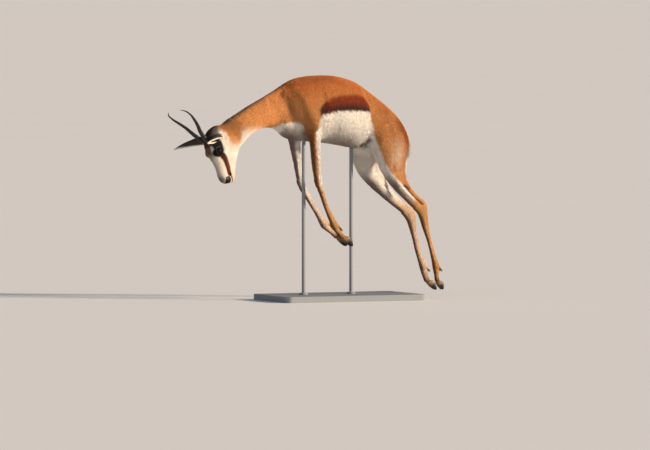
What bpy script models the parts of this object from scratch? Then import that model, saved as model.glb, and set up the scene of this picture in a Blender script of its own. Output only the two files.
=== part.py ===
# A life-size still springbok in a high arched leap, held by a plain stand.
# Metres, +Z up, facing -X, left side towards -Y.
import math

import bmesh
import bpy
import numpy as np
from mathutils import Vector

# Driving dimensions
PARTING_GAP = 0.0003
FITTING_GAP = 0.0005
BODY_CELL = 0.0045
HEAD_CELL = 0.0024
BODY_TRIANGLES = 5700
HEAD_TRIANGLES = 4000
LEG_DEPTH_SCALE = 0.93
EYE_RADIUS = 0.0170
EAR_THICKNESS = 0.0036
BASE_LENGTH = 0.64
BASE_WIDTH = 0.36
BASE_HEIGHT = 0.025
BASE_MIDDLE_X = 0.02
ROD_RADIUS = 0.008
ROD_FRONT_X = -0.145
ROD_REAR_X = 0.075
ROD_TOP = 0.72

# The head has its own frame: s runs from poll to nose, t towards the brow,
# b towards the animal's left.  The turn, roll and pitch are those of the pose.
HEAD_ORIGIN = np.array([-0.5144, 0.0, 0.7062])
HEAD_TURN = math.radians(5.0)
HEAD_ROLL = math.radians(8.0)
HEAD_PITCH = math.radians(5.0)


def head_axes():
    """Unit vectors towards the nose, the brow and the left ear."""
    ahead = np.array([-math.cos(HEAD_TURN), -math.sin(HEAD_TURN), 0.0])
    level_left = np.array([math.sin(HEAD_TURN), -math.cos(HEAD_TURN), 0.0])
    upright = np.array([0.0, 0.0, 1.0])
    left = level_left * math.cos(HEAD_ROLL) + upright * math.sin(HEAD_ROLL)
    crown = upright * math.cos(HEAD_ROLL) - level_left * math.sin(HEAD_ROLL)
    nose = -math.sin(HEAD_PITCH) * ahead - math.cos(HEAD_PITCH) * crown
    brow = math.cos(HEAD_PITCH) * ahead - math.sin(HEAD_PITCH) * crown
    return nose, brow, left


NOSE, BROW, LEFT = head_axes()

# Trunk sections: top x, top z, bottom x, bottom z, half width,
# height of the widest place, roundness of the top and of the bottom
TRUNK = [
    (-0.270, 0.880, -0.284, 0.758, 0.044, 0.50, 2.0, 2.0),
    (-0.240, 0.911, -0.266, 0.713, 0.066, 0.46, 1.9, 2.0),
    (-0.185, 0.9365, -0.224, 0.682, 0.084, 0.44, 1.8, 2.0),
    (-0.120, 0.946, -0.150, 0.668, 0.098, 0.43, 1.8, 2.1),
    (-0.042, 0.948, -0.072, 0.661, 0.108, 0.43, 1.9, 2.1),
    (0.023, 0.939, 0.000, 0.651, 0.113, 0.43, 2.0, 2.1),
    (0.083, 0.920, 0.052, 0.641, 0.112, 0.44, 2.1, 2.1),
    (0.134, 0.888, 0.097, 0.634, 0.105, 0.47, 2.1, 2.0),
    (0.199, 0.842, 0.142, 0.628, 0.098, 0.52, 2.1, 2.0),
    (0.262, 0.792, 0.188, 0.622, 0.090, 0.55, 2.0, 2.0),
    (0.310, 0.736, 0.232, 0.612, 0.078, 0.55, 2.0, 2.0),
    (0.334, 0.685, 0.275, 0.600, 0.060, 0.52, 2.0, 2.0),
    (0.338, 0.648, 0.312, 0.606, 0.036, 0.50, 2.0, 2.0),
]

# Neck sections from the chest to inside the head, same columns
NECK = [
    (-0.185, 0.930, -0.205, 0.705, 0.070, 0.46, 1.9, 2.0),
    (-0.238, 0.912, -0.245, 0.706, 0.069, 0.46, 1.9, 2.0),
    (-0.285, 0.884, -0.275, 0.716, 0.064, 0.46, 1.9, 2.0),
    (-0.338, 0.855, -0.304, 0.7255, 0.057, 0.47, 1.9, 2.0),
    (-0.394, 0.826, -0.334, 0.722, 0.051, 0.48, 1.9, 2.0),
    (-0.440, 0.799, -0.371, 0.708, 0.048, 0.50, 2.0, 2.0),
    (-0.487, 0.771, -0.400, 0.688, 0.047, 0.50, 2.0, 2.0),
    (-0.524, 0.744, -0.426, 0.662, 0.046, 0.50, 2.0, 2.0),
    (-0.548, 0.716, -0.452, 0.634, 0.040, 0.50, 2.0, 2.0),
]

# Leg sections: front x, front z, back x, back z, y, half width
FORE_LEFT = [
    (-0.190, 0.884, -0.100, 0.853, -0.050, 0.0300),
    (-0.200, 0.825, -0.070, 0.793, -0.060, 0.0400),
    (-0.188, 0.770, -0.078, 0.743, -0.067, 0.0360),
    (-0.167, 0.720, -0.091, 0.702, -0.069, 0.0300),
    (-0.154, 0.668, -0.093, 0.664, -0.068, 0.0250),
    (-0.146, 0.614, -0.094, 0.613, -0.066, 0.0215),
    (-0.139, 0.563, -0.093, 0.562, -0.064, 0.0180),
    (-0.129, 0.519, -0.090, 0.520, -0.061, 0.0165),
    (-0.117, 0.483, -0.084, 0.491, -0.058, 0.0165),
    (-0.101, 0.449, -0.074, 0.455, -0.055, 0.0135),
    (-0.085, 0.407, -0.057, 0.410, -0.052, 0.0105),
    (-0.069, 0.369, -0.038, 0.374, -0.050, 0.0100),
    (-0.053, 0.334, -0.018, 0.342, -0.048, 0.0115),
    (-0.042, 0.308, -0.001, 0.313, -0.046, 0.0135),
    (-0.024, 0.286, 0.012, 0.293, -0.045, 0.0125),
    (-0.007, 0.266, 0.024, 0.278, -0.044, 0.0115),
    (0.005, 0.251, 0.037, 0.267, -0.043, 0.0115),
]
FORE_RIGHT = [
    (-0.215, 0.882, -0.130, 0.850, 0.050, 0.0300),
    (-0.232, 0.822, -0.111, 0.790, 0.060, 0.0400),
    (-0.214, 0.766, -0.110, 0.740, 0.067, 0.0360),
    (-0.199, 0.716, -0.118, 0.698, 0.069, 0.0300),
    (-0.186, 0.665, -0.122, 0.660, 0.068, 0.0250),
    (-0.172, 0.610, -0.120, 0.610, 0.066, 0.0215),
    (-0.161, 0.559, -0.123, 0.559, 0.064, 0.0180),
    (-0.153, 0.515, -0.122, 0.519, 0.061, 0.0165),
    (-0.143, 0.475, -0.112, 0.486, 0.058, 0.0165),
    (-0.123, 0.440, -0.092, 0.450, 0.055, 0.0135),
    (-0.099, 0.400, -0.069, 0.407, 0.052, 0.0105),
    (-0.080, 0.370, -0.049, 0.378, 0.050, 0.0100),
    (-0.063, 0.340, -0.027, 0.347, 0.048, 0.0115),
    (-0.047, 0.308, -0.005, 0.323, 0.046, 0.0135),
    (-0.021, 0.285, 0.012, 0.303, 0.045, 0.0125),
    (0.002, 0.268, 0.032, 0.286, 0.044, 0.0115),
    (0.022, 0.250, 0.050, 0.272, 0.043, 0.0115),
]
HIND_LEFT = [
    (0.150, 0.789, 0.270, 0.748, -0.048, 0.0400),
    (0.146, 0.736, 0.294, 0.699, -0.055, 0.0480),
    (0.133, 0.681, 0.314, 0.644, -0.062, 0.0500),
    (0.136, 0.631, 0.306, 0.603, -0.066, 0.0470),
    (0.158, 0.580, 0.297, 0.561, -0.068, 0.0410),
    (0.192, 0.520, 0.303, 0.519, -0.066, 0.0330),
    (0.239, 0.465, 0.327, 0.476, -0.064, 0.0250),
    (0.282, 0.425, 0.356, 0.443, -0.061, 0.0190),
    (0.321, 0.390, 0.388, 0.417, -0.058, 0.0160),
    (0.352, 0.363, 0.400, 0.398, -0.056, 0.0165),
    (0.368, 0.328, 0.408, 0.354, -0.055, 0.0145),
    (0.382, 0.291, 0.414, 0.299, -0.053, 0.0125),
    (0.399, 0.249, 0.426, 0.254, -0.052, 0.0105),
    (0.414, 0.201, 0.440, 0.208, -0.050, 0.0102),
    (0.425, 0.159, 0.455, 0.166, -0.048, 0.0115),
    (0.431, 0.132, 0.466, 0.134, -0.047, 0.0135),
    (0.435, 0.105, 0.467, 0.111, -0.046, 0.0125),
    (0.440, 0.082, 0.466, 0.086, -0.045, 0.0115),
    (0.445, 0.063, 0.472, 0.070, -0.045, 0.0115),
]
HIND_RIGHT = [
    (0.112, 0.787, 0.232, 0.745, 0.048, 0.0400),
    (0.104, 0.733, 0.253, 0.697, 0.055, 0.0480),
    (0.094, 0.670, 0.290, 0.641, 0.062, 0.0500),
    (0.098, 0.618, 0.292, 0.595, 0.066, 0.0470),
    (0.117, 0.564, 0.282, 0.549, 0.068, 0.0410),
    (0.145, 0.517, 0.276, 0.507, 0.067, 0.0350),
    (0.197, 0.468, 0.294, 0.469, 0.065, 0.0270),
    (0.247, 0.425, 0.321, 0.435, 0.063, 0.0205),
    (0.287, 0.394, 0.352, 0.407, 0.060, 0.0175),
    (0.326, 0.365, 0.384, 0.382, 0.058, 0.0165),
    (0.353, 0.336, 0.399, 0.360, 0.056, 0.0165),
    (0.366, 0.304, 0.406, 0.324, 0.055, 0.0145),
    (0.376, 0.271, 0.408, 0.278, 0.053, 0.0120),
    (0.385, 0.237, 0.418, 0.242, 0.052, 0.0105),
    (0.395, 0.195, 0.426, 0.200, 0.050, 0.0102),
    (0.408, 0.152, 0.444, 0.156, 0.048, 0.0115),
    (0.416, 0.127, 0.455, 0.127, 0.047, 0.0135),
    (0.422, 0.098, 0.459, 0.106, 0.046, 0.0125),
    (0.433, 0.072, 0.464, 0.083, 0.045, 0.0115),
    (0.443, 0.058, 0.471, 0.069, 0.045, 0.0115),
]

# Muscles and hollows on both sides: middle x, y, z, reach along each, rise,
# and how far forward the right side's copy lies
MUSCLES = [
    ((-0.185, 0.090, 0.815), (0.050, 0.060, 0.090), 0.0085, 0.012),
    ((-0.125, 0.095, 0.765), (0.042, 0.050, 0.045), 0.0095, 0.030),
    ((-0.248, 0.070, 0.765), (0.034, 0.050, 0.045), 0.0080, 0.010),
    ((-0.050, 0.105, 0.745), (0.030, 0.050, 0.070), -0.0060, 0.020),
    ((-0.215, 0.030, 0.695), (0.050, 0.035, 0.030), 0.0040, 0.000),
    ((0.150, 0.095, 0.825), (0.048, 0.050, 0.038), -0.0060, 0.000),
    ((0.205, 0.080, 0.800), (0.024, 0.035, 0.022), 0.0055, 0.000),
    ((0.215, 0.110, 0.660), (0.070, 0.050, 0.075), 0.0085, 0.030),
    ((0.160, 0.100, 0.665), (0.028, 0.050, 0.060), 0.0050, 0.030),
    ((0.112, 0.070, 0.675), (0.024, 0.050, 0.045), -0.0060, 0.030),
    ((0.305, 0.075, 0.620), (0.030, 0.045, 0.065), 0.0060, 0.020),
    ((0.272, 0.110, 0.575), (0.012, 0.050, 0.055), -0.0040, 0.025),
    ((0.246, 0.095, 0.485), (0.032, 0.035, 0.036), 0.0035, 0.035),
    ((-0.130, 0.095, 0.625), (0.022, 0.030, 0.045), 0.0030, 0.030),
]

# Hooves: front and back of the crown, heel and tip as (x, z), then y
HOOVES = {
    "fore_left": ((0.003, 0.253), (0.041, 0.269), (0.053, 0.258), (0.061, 0.223), -0.043),
    "fore_right": ((0.020, 0.252), (0.053, 0.275), (0.069, 0.257), (0.073, 0.220), 0.043),
    "hind_left": ((0.443, 0.066), (0.475, 0.074), (0.481, 0.060), (0.480, 0.034), -0.045),
    "hind_right": ((0.441, 0.061), (0.474, 0.073), (0.487, 0.057), (0.494, 0.029), 0.045),
}
CLAW_OFFSET = 0.0088
CLAW_HALF_WIDTH = 0.0076

# Dewclaws: root (x, z), tip (x, z), y
DEWCLAWS = {
    "fore_left": ((-0.004, 0.308), (0.010, 0.291), -0.046),
    "fore_right": ((-0.008, 0.315), (0.009, 0.302), 0.046),
    "hind_left": ((0.462, 0.131), (0.474, 0.114), -0.047),
    "hind_right": ((0.450, 0.124), (0.464, 0.110), 0.047),
}

# Head sections: s, top t, bottom t, half width, height of the widest place,
# roundness of the top and of the bottom
HEAD = [
    (-0.034, 0.042, -0.030, 0.034, 0.50, 2.0, 2.0),
    (-0.018, 0.070, -0.048, 0.043, 0.50, 2.0, 2.0),
    (0.004, 0.088, -0.062, 0.0480, 0.52, 2.0, 2.0),
    (0.030, 0.0955, -0.073, 0.0490, 0.56, 2.0, 1.9),
    (0.055, 0.0950, -0.071, 0.0465, 0.60, 2.1, 1.8),
    (0.080, 0.0875, -0.0600, 0.0415, 0.61, 2.2, 1.8),
    (0.100, 0.0785, -0.0515, 0.0360, 0.60, 2.3, 1.8),
    (0.121, 0.0675, -0.0435, 0.0305, 0.58, 2.3, 1.9),
    (0.147, 0.0590, -0.0335, 0.0265, 0.56, 2.3, 2.0),
    (0.1753, 0.0548, -0.0262, 0.0245, 0.55, 2.3, 2.1),
    (0.194, 0.0485, -0.0190, 0.0232, 0.55, 2.2, 2.1),
    (0.204, 0.0400, -0.0120, 0.0195, 0.50, 2.1, 2.0),
    (0.2100, 0.0280, -0.0040, 0.0125, 0.50, 2.0, 2.0),
]
EYE_MIDDLE = (0.0736, 0.0562, 0.0355)
ORBIT = ((0.0720, 0.0550, 0.0297), (0.0272, 0.0257, 0.0198))
CHEEK = ((0.046, -0.012, 0.0150), (0.056, 0.050, 0.0290))
LID_REACH = 0.0162
LID_RISE = 0.0128
LID_DROP = 0.0118
LID_OPENING = (0.0158, 0.0122, 0.0120)
MOUTH = [(0.172, 0.0100), (0.186, 0.0025), (0.200, -0.0005), (0.220, 0.0000)]
NOSTRIL = (0.2000, 0.0255, 0.0125)

# Horn path: s, t, b, radius
HORN = [
    (0.030, 0.074, 0.0175, 0.0106),
    (0.0190, 0.0975, 0.0195, 0.0098),
    (-0.0115, 0.1250, 0.0330, 0.0080),
    (-0.0415, 0.1450, 0.0510, 0.0065),
    (-0.0653, 0.1660, 0.0675, 0.0054),
    (-0.0850, 0.1850, 0.0785, 0.0044),
    (-0.1020, 0.2035, 0.0750, 0.0032),
    (-0.1125, 0.2165, 0.0510, 0.0014),
]
HORN_RING_RISE = 0.0009

# Ears: root and tip as (s, t, b) for each side
EAR_ROOT = (0.012, 0.036, 0.038)
EAR_TIP_LEFT = (0.043, 0.166, 0.150)
EAR_TIP_RIGHT = (0.037, 0.160, 0.150)
EAR_OPENING = (0.92, -0.33, 0.22)
EAR_FORWARD = {1: 0.50, -1: 0.25}
EAR_SCALE = {1: 1.0, -1: 1.12}
EAR_SPAN = [
    (0.00, 0.0120, 158.0),
    (0.12, 0.0150, 146.0),
    (0.28, 0.0205, 108.0),
    (0.48, 0.0235, 78.0),
    (0.70, 0.0195, 62.0),
    (0.88, 0.0110, 50.0),
    (1.00, 0.0022, 42.0),
]

# Tail path: x, z, half width, half thickness
TAIL = [
    (0.318, 0.700, 0.014, 0.011),
    (0.338, 0.672, 0.014, 0.011),
    (0.340, 0.640, 0.0125, 0.0100),
    (0.334, 0.600, 0.0110, 0.0095),
    (0.327, 0.560, 0.0100, 0.0090),
    (0.321, 0.520, 0.0090, 0.0080),
    (0.319, 0.490, 0.0080, 0.0070),
]

# Crest of long hair over the rump: points of the middle line (x, z)
CREST = [(0.262, 0.795), (0.302, 0.749), (0.330, 0.704), (0.344, 0.668), (0.346, 0.637), (0.338, 0.612)]
CREST_LOCKS = 11
TUFT_LOCKS = 7
SEED = 12

COLOURS = {
    "coat_tawny": ((0.52, 0.27, 0.12), 0.85, 0.0),
    "coat_white": ((0.80, 0.74, 0.66), 0.85, 0.0),
    "hair_dark": ((0.06, 0.03, 0.02), 0.80, 0.0),
    "horn_black": ((0.02, 0.018, 0.016), 0.50, 0.0),
    "hoof_black": ((0.025, 0.02, 0.018), 0.45, 0.0),
    "eye_dark": ((0.01, 0.006, 0.004), 0.08, 0.0),
    "stand_grey": ((0.32, 0.33, 0.34), 0.45, 0.0),
}


def head_point(s, t, b):
    """World place of a point given in the head's own frame."""
    return HEAD_ORIGIN + s * NOSE + t * BROW + b * LEFT


def clear():
    """Start from an empty file."""
    for item in list(bpy.data.objects):
        bpy.data.objects.remove(item, do_unlink=True)


def smooth_rows(rows, per_span):
    """Rows of a table joined by Catmull-Rom curves."""
    rows = np.asarray(rows, dtype=float)
    padded = np.vstack([2 * rows[0] - rows[1], rows, 2 * rows[-1] - rows[-2]])
    steps = np.linspace(0.0, 1.0, per_span, endpoint=False)[:, None]
    spans = []
    for index in range(len(rows) - 1):
        a, b, c, d = padded[index:index + 4]
        spans.append(0.5 * (2 * b + (c - a) * steps + (2 * a - 5 * b + 4 * c - d) * steps**2
                            + (3 * b - a - 3 * c + d) * steps**3))
    spans.append(rows[-1][None, :])
    return np.vstack(spans)


def lofted(rows, sides, per_span=4):
    """Closed tube through sections.

    A row is top point, bottom point, side direction, half width, height of
    the widest place and the roundness of the upper and lower halves.
    """
    rows = smooth_rows(rows, per_span)
    angles = np.linspace(0.0, 2 * math.pi, sides, endpoint=False)
    cosine = np.cos(angles)
    sine = np.sin(angles)
    rings = []
    for row in rows:
        top, bottom, side = row[0:3], row[3:6], row[6:9]
        side = side / np.linalg.norm(side)
        width, level, round_top, round_bottom = row[9:13]
        rise = top - bottom
        height = np.linalg.norm(rise)
        rise = rise / height
        power = np.where(sine >= 0, 2.0 / round_top, 2.0 / round_bottom)
        across = np.sign(cosine) * np.abs(cosine)**power * width
        reach = np.where(sine >= 0, (1.0 - level) * height, level * height)
        along = np.sign(sine) * np.abs(sine)**power * reach
        middle = bottom + rise * level * height
        rings.append(middle + across[:, None] * side + along[:, None] * rise)
    return tube(np.array(rings))


def tube(rings):
    """Vertices and faces of a closed tube from an array of rings."""
    count, sides = rings.shape[0], rings.shape[1]
    points = rings.reshape(-1, 3)
    ends = np.array([rings[0].mean(axis=0), rings[-1].mean(axis=0)])
    points = np.vstack([points, ends])
    faces = []
    for ring in range(count - 1):
        for side in range(sides):
            after = (side + 1) % sides
            low, high = ring * sides, (ring + 1) * sides
            faces.append((low + side, low + after, high + after, high + side))
    first, last = count * sides, count * sides + 1
    for side in range(sides):
        after = (side + 1) % sides
        faces.append((first, after, side))
        faces.append((last, (count - 1) * sides + side, (count - 1) * sides + after))
    return points, faces


def flat_rows(table):
    """Sections of the trunk or neck as full rows in the middle plane."""
    rows = []
    for xt, zt, xb, zb, width, level, round_top, round_bottom in table:
        rows.append((xt, 0, zt, xb, 0, zb, 0, 1, 0, width, level, round_top, round_bottom))
    return rows


def neck_rows():
    """Neck sections, swung little by little to the head's own side."""
    rows = []
    count = len(NECK) - 1
    for index, (xt, zt, xb, zb, width, level, round_top, round_bottom) in enumerate(NECK):
        share = (index / count)**2
        side = np.array([0.0, 1.0, 0.0]) * (1 - share) - LEFT * share
        rows.append((xt, 0, zt, xb, 0, zb, *side, width, level, round_top, round_bottom))
    return rows


def leg_rows(table):
    """Sections of a leg, with the front as the top."""
    rows = []
    for xf, zf, xb, zb, y, width in table:
        xm, zm = (xf + xb) / 2, (zf + zb) / 2
        xf, zf = xm + (xf - xm) * LEG_DEPTH_SCALE, zm + (zf - zm) * LEG_DEPTH_SCALE
        xb, zb = xm + (xb - xm) * LEG_DEPTH_SCALE, zm + (zb - zm) * LEG_DEPTH_SCALE
        thick = min(max((width - 0.014) / 0.012, 0.0), 1.0)
        rows.append((xf, y, zf, xb, y, zb, 0, 1, 0, width, 0.5 + 0.08 * thick, 2.1,
                     2.2 - 0.65 * thick))
    return rows


def head_rows():
    """Sections of the head in the world frame."""
    rows = []
    for s, top, bottom, width, level, round_top, round_bottom in HEAD:
        rows.append((*head_point(s, top, 0), *head_point(s, bottom, 0), *(-LEFT), width,
                     level, round_top, round_bottom))
    return rows


def ball(middle, radii, axes=None, rings=11, sides=16):
    """Ellipsoid with its own axes, as vertices and faces."""
    if axes is None:
        axes = np.eye(3)
    lift = np.linspace(0.04, math.pi - 0.04, rings)
    turn = np.linspace(0.0, 2 * math.pi, sides, endpoint=False)
    local = np.stack([
        np.sin(lift)[:, None] * np.cos(turn)[None, :] * radii[0],
        np.sin(lift)[:, None] * np.sin(turn)[None, :] * radii[1],
        np.cos(lift)[:, None] * np.ones(sides)[None, :] * radii[2],
    ], axis=-1)
    return tube(np.asarray(middle) + local @ np.asarray(axes))


def head_ball(place, radii, side):
    """Ellipsoid placed in the head's frame, on one side."""
    s, t, b = place
    axes = np.array([NOSE, BROW, LEFT])
    return ball(head_point(s, t, b * side), radii, axes)


def material(name):
    """One plain material."""
    colour, roughness, metal = COLOURS[name]
    made = bpy.data.materials.new(name)
    made.use_nodes = True
    shader = made.node_tree.nodes["Principled BSDF"]
    shader.inputs["Base Color"].default_value = (*colour, 1.0)
    shader.inputs["Roughness"].default_value = roughness
    shader.inputs["Metallic"].default_value = metal
    return made


def make_object(name, shells):
    """One mesh object from a list of closed shells, all facing out."""
    mesh = bpy.data.meshes.new(name)
    points = []
    faces = []
    start = 0
    for shell_points, shell_faces in shells:
        points.extend([tuple(point) for point in shell_points])
        faces.extend([tuple(corner + start for corner in face) for face in shell_faces])
        start += len(shell_points)
    mesh.from_pydata(points, [], faces)
    work = bmesh.new()
    work.from_mesh(mesh)
    bmesh.ops.recalc_face_normals(work, faces=work.faces)
    work.to_mesh(mesh)
    work.free()
    made = bpy.data.objects.new(name, mesh)
    bpy.context.collection.objects.link(made)
    return made


def settle(item):
    """Replace an object's mesh by its own mesh after its modifiers."""
    graph = bpy.context.evaluated_depsgraph_get()
    graph.update()
    finished = bpy.data.meshes.new_from_object(item.evaluated_get(graph))
    item.modifiers.clear()
    old = item.data
    item.data = finished
    bpy.data.meshes.remove(old)
    return item


def melt(item, cell):
    """Join the overlapping shells of an object into one skin."""
    change = item.modifiers.new("Melt", "REMESH")
    change.mode = "VOXEL"
    change.voxel_size = cell
    change.adaptivity = 0.0
    return settle(item)


def read_points(item):
    """Vertex places as an array."""
    places = np.empty(len(item.data.vertices) * 3)
    item.data.vertices.foreach_get("co", places)
    return places.reshape(-1, 3)


def write_points(item, places):
    """Set vertex places from an array."""
    item.data.vertices.foreach_set("co", np.ascontiguousarray(places).ravel())
    item.data.update()


def relax(item, rounds, keep=None):
    """Even out small steps; every second round pushes the volume back."""
    places = read_points(item)
    edges = np.empty(len(item.data.edges) * 2, dtype=np.int64)
    item.data.edges.foreach_get("vertices", edges)
    edges = edges.reshape(-1, 2)
    count = len(places)
    ends = np.concatenate([edges[:, 0], edges[:, 1]])
    others = np.concatenate([edges[:, 1], edges[:, 0]])
    number = np.maximum(np.bincount(ends, minlength=count), 1)[:, None]
    weight = np.ones((count, 1)) if keep is None else keep[:, None]
    for turn in range(rounds):
        total = np.column_stack([
            np.bincount(ends, weights=places[others, axis], minlength=count) for axis in range(3)
        ])
        strength = 0.55 if turn % 2 == 0 else -0.57
        places = places + strength * weight * (total / number - places)
    write_points(item, places)
    return item


def soften(item, rounds, weight):
    """Round off creases; the weight keeps slender places as they are."""
    places = read_points(item)
    edges = np.empty(len(item.data.edges) * 2, dtype=np.int64)
    item.data.edges.foreach_get("vertices", edges)
    edges = edges.reshape(-1, 2)
    count = len(places)
    ends = np.concatenate([edges[:, 0], edges[:, 1]])
    others = np.concatenate([edges[:, 1], edges[:, 0]])
    number = np.maximum(np.bincount(ends, minlength=count), 1)[:, None]
    for _ in range(rounds):
        total = np.column_stack([
            np.bincount(ends, weights=places[others, axis], minlength=count) for axis in range(3)
        ])
        places = places + 0.5 * weight[:, None] * (total / number - places)
    write_points(item, places)
    return item


def raise_muscles(item):
    """Lift the skin over each muscle and sink it in each hollow."""
    places = read_points(item)
    normals = np.empty(len(item.data.vertices) * 3)
    item.data.vertices.foreach_get("normal", normals)
    lift = np.zeros(len(places))
    for middle, reach, rise, swing in MUSCLES:
        for side in (-1, 1):
            centre = np.array([middle[0] - (swing if side > 0 else 0.0), side * middle[1],
                               middle[2]])
            away = ((places - centre) / np.array(reach))**2
            lift += rise * np.exp(-away.sum(axis=1))
    write_points(item, places + lift[:, None] * normals.reshape(-1, 3))
    return item


def thin_out(item, triangles):
    """Bring an object down to a number of triangles."""
    faces = sum(len(face.vertices) - 2 for face in item.data.polygons)
    change = item.modifiers.new("Fewer", "DECIMATE")
    change.ratio = min(1.0, triangles / faces)
    change.use_collapse_triangulate = True
    return settle(item)


def subtract(item, cutter, solver="EXACT"):
    """Take the cutter's volume out of an object and drop the cutter."""
    change = item.modifiers.new("Cut", "BOOLEAN")
    change.operation = "DIFFERENCE"
    change.solver = solver
    change.object = cutter
    settle(item)
    mesh = cutter.data
    bpy.data.objects.remove(cutter, do_unlink=True)
    bpy.data.meshes.remove(mesh)
    return item


def slab(middle, normal, across, half_width, half_depth):
    """Thin box of the parting gap's thickness, as a closed shell."""
    normal = np.asarray(normal, dtype=float)
    normal = normal / np.linalg.norm(normal)
    across = np.asarray(across, dtype=float)
    across = across - normal * (across @ normal)
    across = across / np.linalg.norm(across)
    other = np.cross(normal, across)
    middle = np.asarray(middle, dtype=float)
    points = []
    for end in (-0.5, 0.5):
        for i, j in ((-1, -1), (1, -1), (1, 1), (-1, 1)):
            points.append(middle + normal * PARTING_GAP * end + across * half_width * i
                          + other * half_depth * j)
    faces = [(0, 3, 2, 1), (4, 5, 6, 7), (0, 1, 5, 4), (1, 2, 6, 5), (2, 3, 7, 6), (3, 0, 4, 7)]
    return np.array(points), faces


def grown(items, name):
    """Copies of finished objects with their skins moved out by the gap."""
    shells = []
    for item in items:
        mesh = item.data
        places = read_points(item)
        normals = np.empty(len(mesh.vertices) * 3)
        mesh.vertices.foreach_get("normal", normals)
        places = places + normals.reshape(-1, 3) * FITTING_GAP
        shells.append((places, [tuple(face.vertices) for face in mesh.polygons]))
    return [make_object(f"{name}_{index}", [one]) for index, one in enumerate(shells)]


def fit_against(item, neighbours):
    """Cut an object back so that it clears its neighbours by the gap."""
    for cutter in grown(neighbours, "cutter"):
        subtract(item, cutter)
    return largest(item)


def loose_parts(item):
    """Lists of face numbers, one for each loose part, largest first."""
    work = bmesh.new()
    work.from_mesh(item.data)
    work.faces.ensure_lookup_table()
    seen = set()
    parts = []
    for face in work.faces:
        if face.index in seen:
            continue
        stack = [face]
        seen.add(face.index)
        part = []
        while stack:
            current = stack.pop()
            part.append(current.index)
            for edge in current.edges:
                if len(edge.link_faces) != 2:
                    continue
                for near in edge.link_faces:
                    if near.index not in seen:
                        seen.add(near.index)
                        stack.append(near)
        parts.append(part)
    work.free()
    parts.sort(key=len, reverse=True)
    return parts


def part_shell(item, numbers):
    """Vertices and faces of one loose part."""
    places = read_points(item)
    faces = [tuple(item.data.polygons[number].vertices) for number in numbers]
    used = sorted({corner for face in faces for corner in face})
    place_of = {corner: index for index, corner in enumerate(used)}
    return places[used], [tuple(place_of[corner] for corner in face) for face in faces]


def largest(item):
    """Keep only the largest closed part of an object."""
    parts = loose_parts(item)
    if len(parts) > 1:
        shell = part_shell(item, parts[0])
        kept = make_object("kept", [shell])
        old = item.data
        for slot in old.materials:
            kept.data.materials.append(slot)
        item.data = kept.data
        bpy.data.objects.remove(kept, do_unlink=True)
        bpy.data.meshes.remove(old)
    return item


def clean(item):
    """Weld doubles, close nothing, and leave triangles facing out."""
    work = bmesh.new()
    work.from_mesh(item.data)
    bmesh.ops.remove_doubles(work, verts=work.verts, dist=0.00005)
    bmesh.ops.dissolve_degenerate(work, edges=work.edges, dist=0.00005)
    bmesh.ops.triangulate(work, faces=work.faces)
    bmesh.ops.recalc_face_normals(work, faces=work.faces)
    work.to_mesh(item.data)
    work.free()
    return item


# Partings of the body: name, middle, normal, half width, half depth
PARTINGS = [
    ((-0.303, 0.0, 0.80), (-0.995, 0.0, -0.10), 0.16, 0.16),
    ((-0.123, -0.078, 0.659), (0.0, 0.0, 1.0), 0.044, 0.060),
    ((-0.150, 0.078, 0.659), (0.0, 0.0, 1.0), 0.044, 0.060),
    ((-0.108, -0.061, 0.503), (-0.20, 0.0, 1.0), 0.040, 0.045),
    ((-0.135, 0.061, 0.503), (-0.15, 0.0, 1.0), 0.040, 0.045),
    ((0.215, -0.070, 0.572), (0.20, 0.0, 1.0), 0.064, 0.115),
    ((0.190, 0.070, 0.572), (0.20, 0.0, 1.0), 0.064, 0.115),
    ((0.374, -0.057, 0.386), (-0.68, 0.0, 0.73), 0.040, 0.045),
    ((0.354, 0.058, 0.383), (-0.70, 0.0, 0.71), 0.040, 0.045),
]
HEAD_PARTING = ((-0.462, 0.0, 0.728), (-0.80, 0.0, -0.60))

# Body nodes: name, a place near the middle of each, material
BODY_NODES = [
    ("torso", (0.05, 0.0, 0.78), "coat_tawny"),
    ("neck", (-0.38, 0.0, 0.78), "coat_tawny"),
    ("fore_upper_left", (-0.12, -0.066, 0.58), "coat_tawny"),
    ("fore_upper_right", (-0.145, 0.066, 0.58), "coat_white"),
    ("fore_lower_left", (-0.055, -0.051, 0.39), "coat_tawny"),
    ("fore_lower_right", (-0.06, 0.051, 0.39), "coat_tawny"),
    ("hind_upper_left", (0.27, -0.066, 0.49), "coat_tawny"),
    ("hind_upper_right", (0.23, 0.066, 0.49), "coat_white"),
    ("hind_lower_left", (0.42, -0.051, 0.23), "coat_tawny"),
    ("hind_lower_right", (0.41, 0.051, 0.23), "coat_tawny"),
]


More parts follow.
